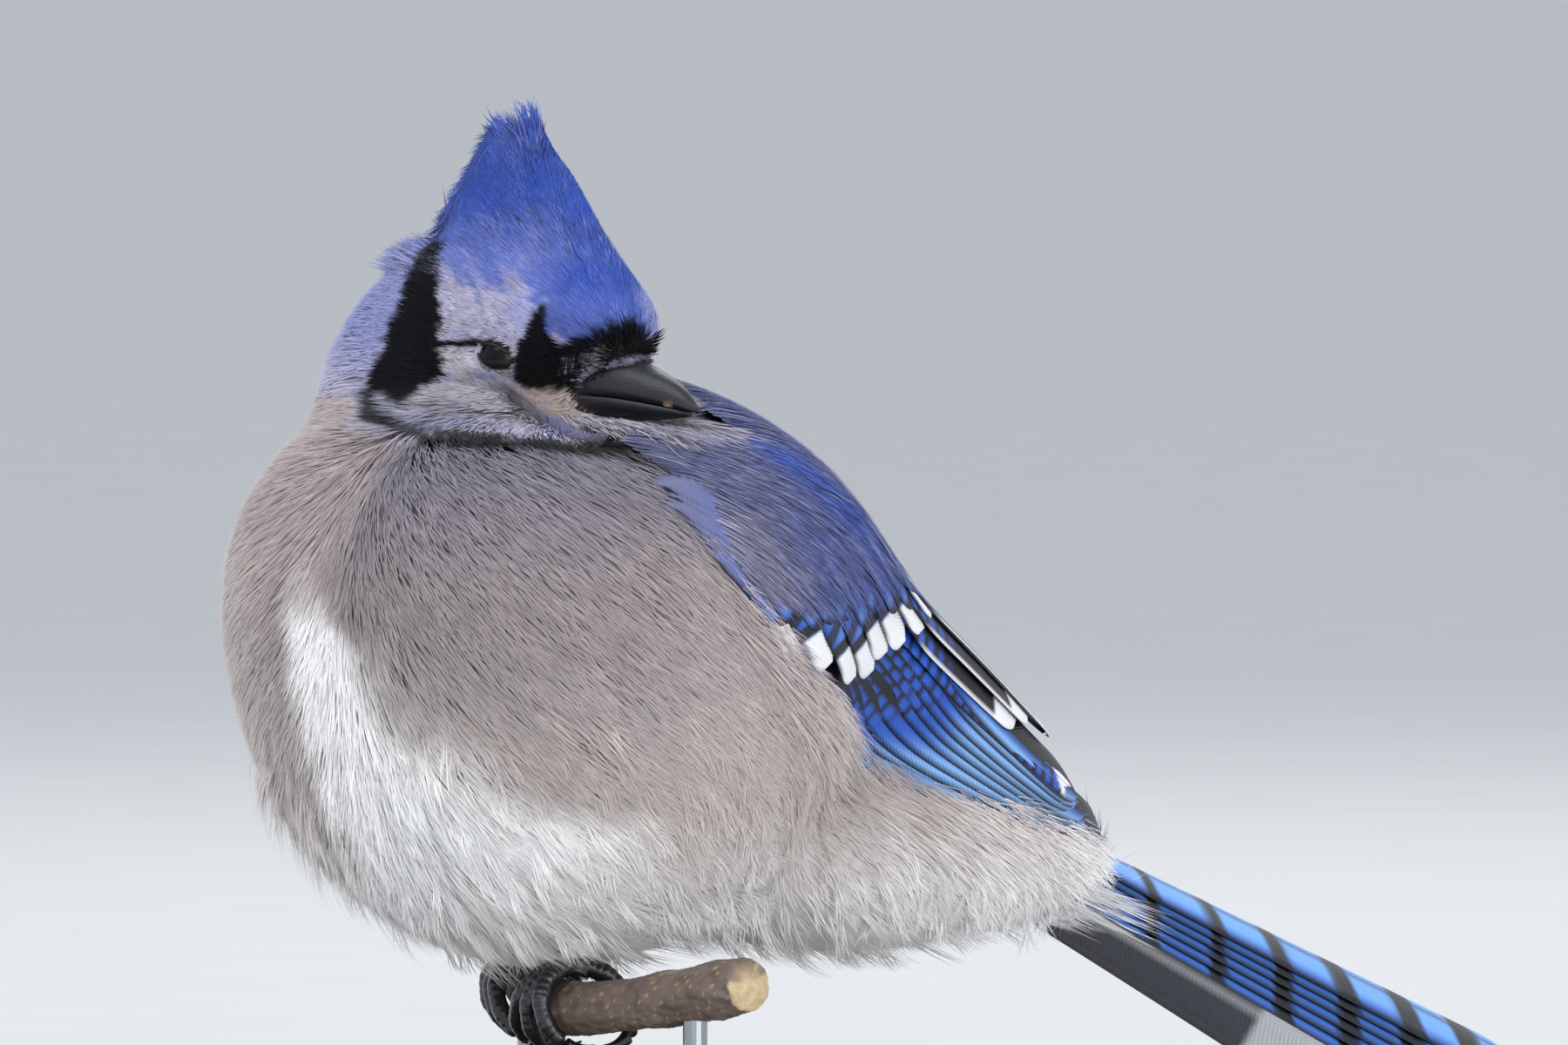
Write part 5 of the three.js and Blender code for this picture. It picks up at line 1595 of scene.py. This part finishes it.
TWIG_PATH = [[-34, 18, 0], [-14, 0, -3], [12, -12, -5.1], [36, -12.5, -2.5], [58, -13, 1.2]]
TWIG_RADIUS, TOE_RADIUS = 4.4, 1.75
TOE_RING = TWIG_RADIUS + GAP + TOE_RADIUS + 0.5
TWIG_ROWS, TWIG_SIDES = 200, 56
KNOTS = ((36, 0.1), (-26, 0.12), (50, 0.08))


def through(points, count=400):
    """A smooth path through points. Between two of them it is a cubic whose slopes follow the
    gaps to the neighbours, each gap counted by the square root of its length."""
    points = np.array(points, float)
    ends = [2 * points[0] - points[1], 2 * points[-1] - points[-2]]
    full = np.concatenate([ends[:1], points, ends[1:]])
    gap = np.sqrt(np.linalg.norm(np.diff(full, axis=0), axis=1))
    at = np.concatenate([[0], np.cumsum(gap)])
    step = np.diff(full, axis=0) / gap[:, None]
    slope = step[:-1] + step[1:] - (full[2:] - full[:-2]) / (gap[:-1] + gap[1:])[:, None]
    t = np.linspace(at[1], at[-2], count)
    k = np.clip(np.searchsorted(at[1:-1], t, side="right") - 1, 0, len(points) - 2)
    span = np.diff(at[1:-1])[k][:, None]
    v = (t - at[1:-1][k])[:, None] / span
    a, b = points[k], points[k + 1]
    rise = (v**3 - 2 * v**2 + v) * span * slope[k] + (v**3 - v**2) * span * slope[k + 1]
    return (2 * v**3 - 3 * v**2 + 1) * a + (3 * v**2 - 2 * v**3) * b + rise


TWIG_LINE = through(TWIG_PATH)


def twig_at(x):
    """The twig's middle over x, read off its smooth path."""
    return np.stack([x, np.interp(x, *TWIG_LINE.T[:2]), np.interp(x, *TWIG_LINE.T[[0, 2]])], -1)


def bark_material():
    """Dull bark with cracks drawn out along the twig."""
    material, nodes, links, surface = shader("bark", 0.85, 0.25)
    rough = noise_on(nodes, links, 700, 8, (0.35, 1, 1))
    shaded_tint(nodes, links, surface, rough, 0.55, 1.4)
    bump_from(nodes, links, rough, surface, 0.8, 0.0006)
    return material


def twig():
    """The cut twig: a bent rod whose skin swells at knots and is ridged along its length."""
    x = np.linspace(TWIG_PATH[0][0], TWIG_PATH[-1][0], TWIG_ROWS)[:, None]
    turn = np.linspace(0, 2 * np.pi, TWIG_SIDES, endpoint=False)[None]
    swell = 1 + 0.04 * np.sin(0.16 * x)
    for knot, size in KNOTS:
        swell = swell + size * np.exp(-(((x - knot) / 3.2) ** 2))
    ridge = 0.02 * np.sin(7 * turn + 0.05 * x) + 0.012 * np.sin(17 * turn - 0.11 * x)
    ring = 0.02 * np.sin(1.9 * x) * np.sin(3 * turn)
    spot = np.stack(np.broadcast_arrays(x, 4 * np.cos(turn), 4 * np.sin(turn)), -1)
    pits = 0.02 * grain(spot, 1.1, 3) + 0.015 * grain(spot, 0.5, 6)
    radii = TWIG_RADIUS * (swell * 0.98 + ridge + ring + pits)
    ends = np.clip(np.minimum(x - x[0], x[-1] - x) / 0.5, 0, 1)
    points, faces = tube(twig_at(x[:, 0]), radii * mix(0.93, 1, ends), TWIG_SIDES)
    cut = np.maximum(1 - soft(points[:, 0] - x[0], 0.1, 0.3), soft(points[:, 0] - x[-1], -0.3, -0.1))
    tone = layers(
        tint("#766860"), points.shape,
        (tint("#5d524e"), 0.6 * soft(grain(points, 2.2, 1), 0.1, 0.7)),
        (tint("#938b85"), 0.6 * soft(grain(points * np.array([0.4, 1, 1]), 3.0, 8), 0.2, 0.8)),
        (tint("#b29a6e"), 0.9 * soft(grain(points, 0.8, 5), 0.62, 0.85)),
        (tint("#c9b48f"), cut),
    )
    piece = add_mesh("perch_twig_bark", points, faces, bark_material(), tone)
    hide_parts("perch_twig")


def round_twig(x, turn, radius):
    """A place beside the twig: turn 90 is over it, 0 its front, -90 below."""
    turn, radius = [np.asarray(a, float)[..., None] for a in (np.radians(turn), radius)]
    ahead = unit(twig_at(x + 0.5) - twig_at(x - 0.5))
    front = unit(np.stack([ahead[..., 1], -ahead[..., 0], 0 * ahead[..., 0]], -1))
    over = np.cross(front, ahead)
    return twig_at(x) + front * np.cos(turn) * radius + over * np.sin(turn) * radius


# Each toe: its drift along the twig from the foot's middle, and where its curl starts and ends.
TOES = {
    "inner": (-9, 80, -52),
    "middle": (-3, 80, -62),
    "outer": (3.5, 80, -50),
    "hind": (8, 100, 222),
}


TOE_ROWS, TOE_SIDES, SCUTES, PADS = 90, 24, 15, 4


def toe(x, side, drift, low, high):
    """A toe curled round the twig: overlapping scutes swell its back, pads its inner side."""
    s = np.linspace(0, 1, TOE_ROWS)
    lift = 1.2 * np.sin(np.pi * s) ** 2
    middle = round_twig(mix(x, x + side * drift, s), mix(low, high, s), TOE_RING + 0.35 * lift)
    phase = np.mod(s * SCUTES, 1)
    ridge = 0.09 * phase**0.6 - 0.06 * np.exp(-(((phase - 1) / 0.1) ** 2))
    joint = 0.06 * np.cos(PADS * 2 * np.pi * s)
    radius = TOE_RADIUS * mix(1.0, 0.8, s) * (0.96 + joint)
    turn = np.linspace(0, 2 * np.pi, TOE_SIDES, endpoint=False)
    back = soft(np.cos(turn), -0.4, 0.5)
    radii = radius[:, None] * (1 + ridge[:, None] * back[None])
    end = np.sqrt(np.clip(np.minimum(s / 0.04, (1 - s) / 0.05), 0.05, 1))
    points, faces = tube(middle, radii * end[:, None], TOE_SIDES)
    edge = (1 - soft(phase, 0.0, 0.16))[:, None] * back[None]
    share = np.append(0.55 * edge, [0, 0])
    return (points, faces), layers(tint("#17181d"), points.shape, (tint("#6d6a6c"), share))


CLAW_ROWS, CLAW_SIDES = 24, 16
CLAW_START, CLAW_SWEEP = 5.5, 48
CLAW_RADIUS, CLAW_TIP = 1.15, 0.06


def claw(x, side, drift, low, high):
    """A claw that goes on round the twig from its toe's end, thinning to a point."""
    s = np.linspace(0, 1, CLAW_ROWS)
    turn = high + np.sign(high - low) * (CLAW_START + CLAW_SWEEP * s)
    middle = round_twig(x + side * drift + side * 0.3 * s, turn, TOE_RING - 0.85 * s)
    return tube(middle, CLAW_RADIUS * (1 - s) ** 0.75 + CLAW_TIP, CLAW_SIDES)


SHIN_WAY = np.array([0, 9.5, 20.0])
SHIN_RADIUS, SHIN_RINGS = 2.5, 9


def shin(x):
    """The lower leg from over the toes up into the down, waisted and faintly ringed."""
    s = np.linspace(0, 1, 60)
    ankle = round_twig(np.array([x]), 90, TOE_RING - 1.4)[0]
    waist = 0.5 * np.sin(np.pi * np.clip(s * 1.1, 0, 1)) ** 0.5
    rings = 0.05 * np.mod(s * SHIN_RINGS, 1)
    body = tube(ankle + SHIN_WAY * s[:, None], (SHIN_RADIUS - waist) * (1 + rings), TOE_SIDES)
    return body, np.broadcast_to(tint("#1b1c21"), body[0].shape)


def feet():
    """Both feet with their shins, and their claws as pieces of their own."""
    for name, side, x in (("right", -1, -9.0), ("left", 1, 12.5)):
        bodies, tones = zip(*[toe(x, side, *one) for one in TOES.values()], shin(x))
        points, faces = gather(bodies)
        piece = add_mesh("foot_" + name + "_scutes", points, faces, TOE_HORN, np.concatenate(tones))
        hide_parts("foot_" + name, "leg_" + name)
        nails = gather([claw(x, side, *one) for one in TOES.values()])
        tone = np.broadcast_to(tint("#121317"), nails[0].shape)
        piece = add_mesh("claws_" + name, *nails, TOE_HORN, tone)
        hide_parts(*["claw_" + name + "_" + one for one in TOES])


# Stand.


def dress_stand():
    """Dark oiled wood for the base, brushed steel for the rods."""
    wood, nodes, links, surface = shader("base_walnut", 0.38, 0.4, coat=0.25)
    rings = noise_on(nodes, links, 60, 8, (0.35, 7, 7))
    ramp_color(nodes, links, surface, rings, tint("#2a1a12"), tint("#5f402b"))
    bump_from(nodes, links, rings, surface, 0.15, 0.0002)
    steel, nodes, links, surface = shader("rod_steel", 0.3, 0.5, metallic=1.0)
    lines = noise_on(nodes, links, 900, 3, (1, 1, 0.06))
    ramp_color(nodes, links, surface, lines, tint("#8d9196"), tint("#b9bdc2"))
    bump_from(nodes, links, lines, surface, 0.1, 0.0001)
    for name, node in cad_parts.items():
        if name.startswith("stand_"):
            node.data.materials.clear()
            node.data.materials.append(wood if name == "stand_base" else steel)


# Room, light and camera, in metres. The view's own directions: back to the camera, and right.

VIEW_TURN, VIEW_RISE, VIEW_FAR = np.radians(50), 2, 2.5
VIEW_BACK = np.array([np.sin(VIEW_TURN), -np.cos(VIEW_TURN), 0])
VIEW_RIGHT = np.array([np.cos(VIEW_TURN), np.sin(VIEW_TURN), 0])
UPRIGHT = np.array([0, 0, 1.0])
LOOK_AT = VIEW_RIGHT * 0.0329 + UPRIGHT * (0.0736 + PERCH_HEIGHT / 1000)
SENSOR, LENS, CLIP = 36, 350, (0.05, 1200)
FLOOR_REACH = 600.0
SKY_COLOR, SKY_STRENGTH = (0.86, 0.9, 0.96, 1), 0.8

# Lamps: name, place from the lit place, power, width and colour.
LIT_PLACE = np.array([0.01, 0.0, 0.11])
LAMPS = (
    ("key", VIEW_BACK * 0.9 - VIEW_RIGHT * 0.55 + UPRIGHT * 1.25, 10.5, 1.1, (1, 0.98, 0.95)),
    ("fill", VIEW_BACK + VIEW_RIGHT * 0.5 - UPRIGHT * 0.02, 9.0, 1.3, (1, 0.97, 0.94)),
    ("rim", -VIEW_BACK + VIEW_RIGHT * 0.2 + UPRIGHT, 6.0, 0.8, (1, 1, 1)),
    ("eye_spark", VIEW_BACK * 1.12 + VIEW_RIGHT * 0.85 + UPRIGHT * 0.06, 1.4, 0.16, (1, 1, 1)),
)


def aimed(name, data, place, way):
    """A lamp or camera put at a place and turned to look along a way."""
    made = bpy.data.objects.new(name, data)
    made.location = place
    made.rotation_mode = "QUATERNION"
    made.rotation_quaternion = Vector(way).to_track_quat("-Z", "Y")
    bpy.context.collection.objects.link(made)
    return made


def studio():
    """A wide pale floor, an even pale sky, a big soft lamp, a fill and a small lamp for the eye."""
    material, nodes, links, surface = shader("floor_paper", 0.9, 0.1)
    fine = noise_on(nodes, links, 30, 2)
    ramp_color(nodes, links, surface, fine, (0.66, 0.67, 0.68), (0.7, 0.71, 0.72))
    mesh = bpy.data.meshes.new("floor")
    r = FLOOR_REACH
    mesh.from_pydata([(-r, -r, 0), (r, -r, 0), (r, r, 0), (-r, r, 0)], [], [(0, 1, 2, 3)])
    mesh.materials.append(material)
    floor = bpy.data.objects.new("floor", mesh)
    bpy.context.collection.objects.link(floor)
    world = bpy.data.worlds.new("sky")
    bpy.context.scene.world = world
    world.use_nodes = True
    world.node_tree.nodes["Background"].inputs["Color"].default_value = SKY_COLOR
    world.node_tree.nodes["Background"].inputs["Strength"].default_value = SKY_STRENGTH
    for name, place, power, size, color in LAMPS:
        data = bpy.data.lights.new(name, "AREA")
        data.energy, data.size, data.color = power, size, color
        aimed(name, data, LIT_PLACE + place, -place)


def camera():
    """The photograph's view: 50 degrees round from the front, 2 above level, a long lens."""
    rise = np.radians(VIEW_RISE)
    back = VIEW_BACK * np.cos(rise) + UPRIGHT * np.sin(rise)
    data = bpy.data.cameras.new("photo_view")
    data.sensor_width, data.lens = SENSOR, LENS
    data.clip_start, data.clip_end = CLIP
    bpy.context.scene.camera = aimed("photo_view", data, LOOK_AT + back * VIEW_FAR, -back)


camera()
studio()
bpy.context.scene.view_settings.view_transform = "Standard"
skin()
body_coat()
neck_coat()
face_coat()
crest_coat()
bridge_coat()
fringe_coat()
vent_coat()
wings()
tail()
bill(True)
bill(False)
bristles()
eyes()
twig()
feet()
dress_stand()
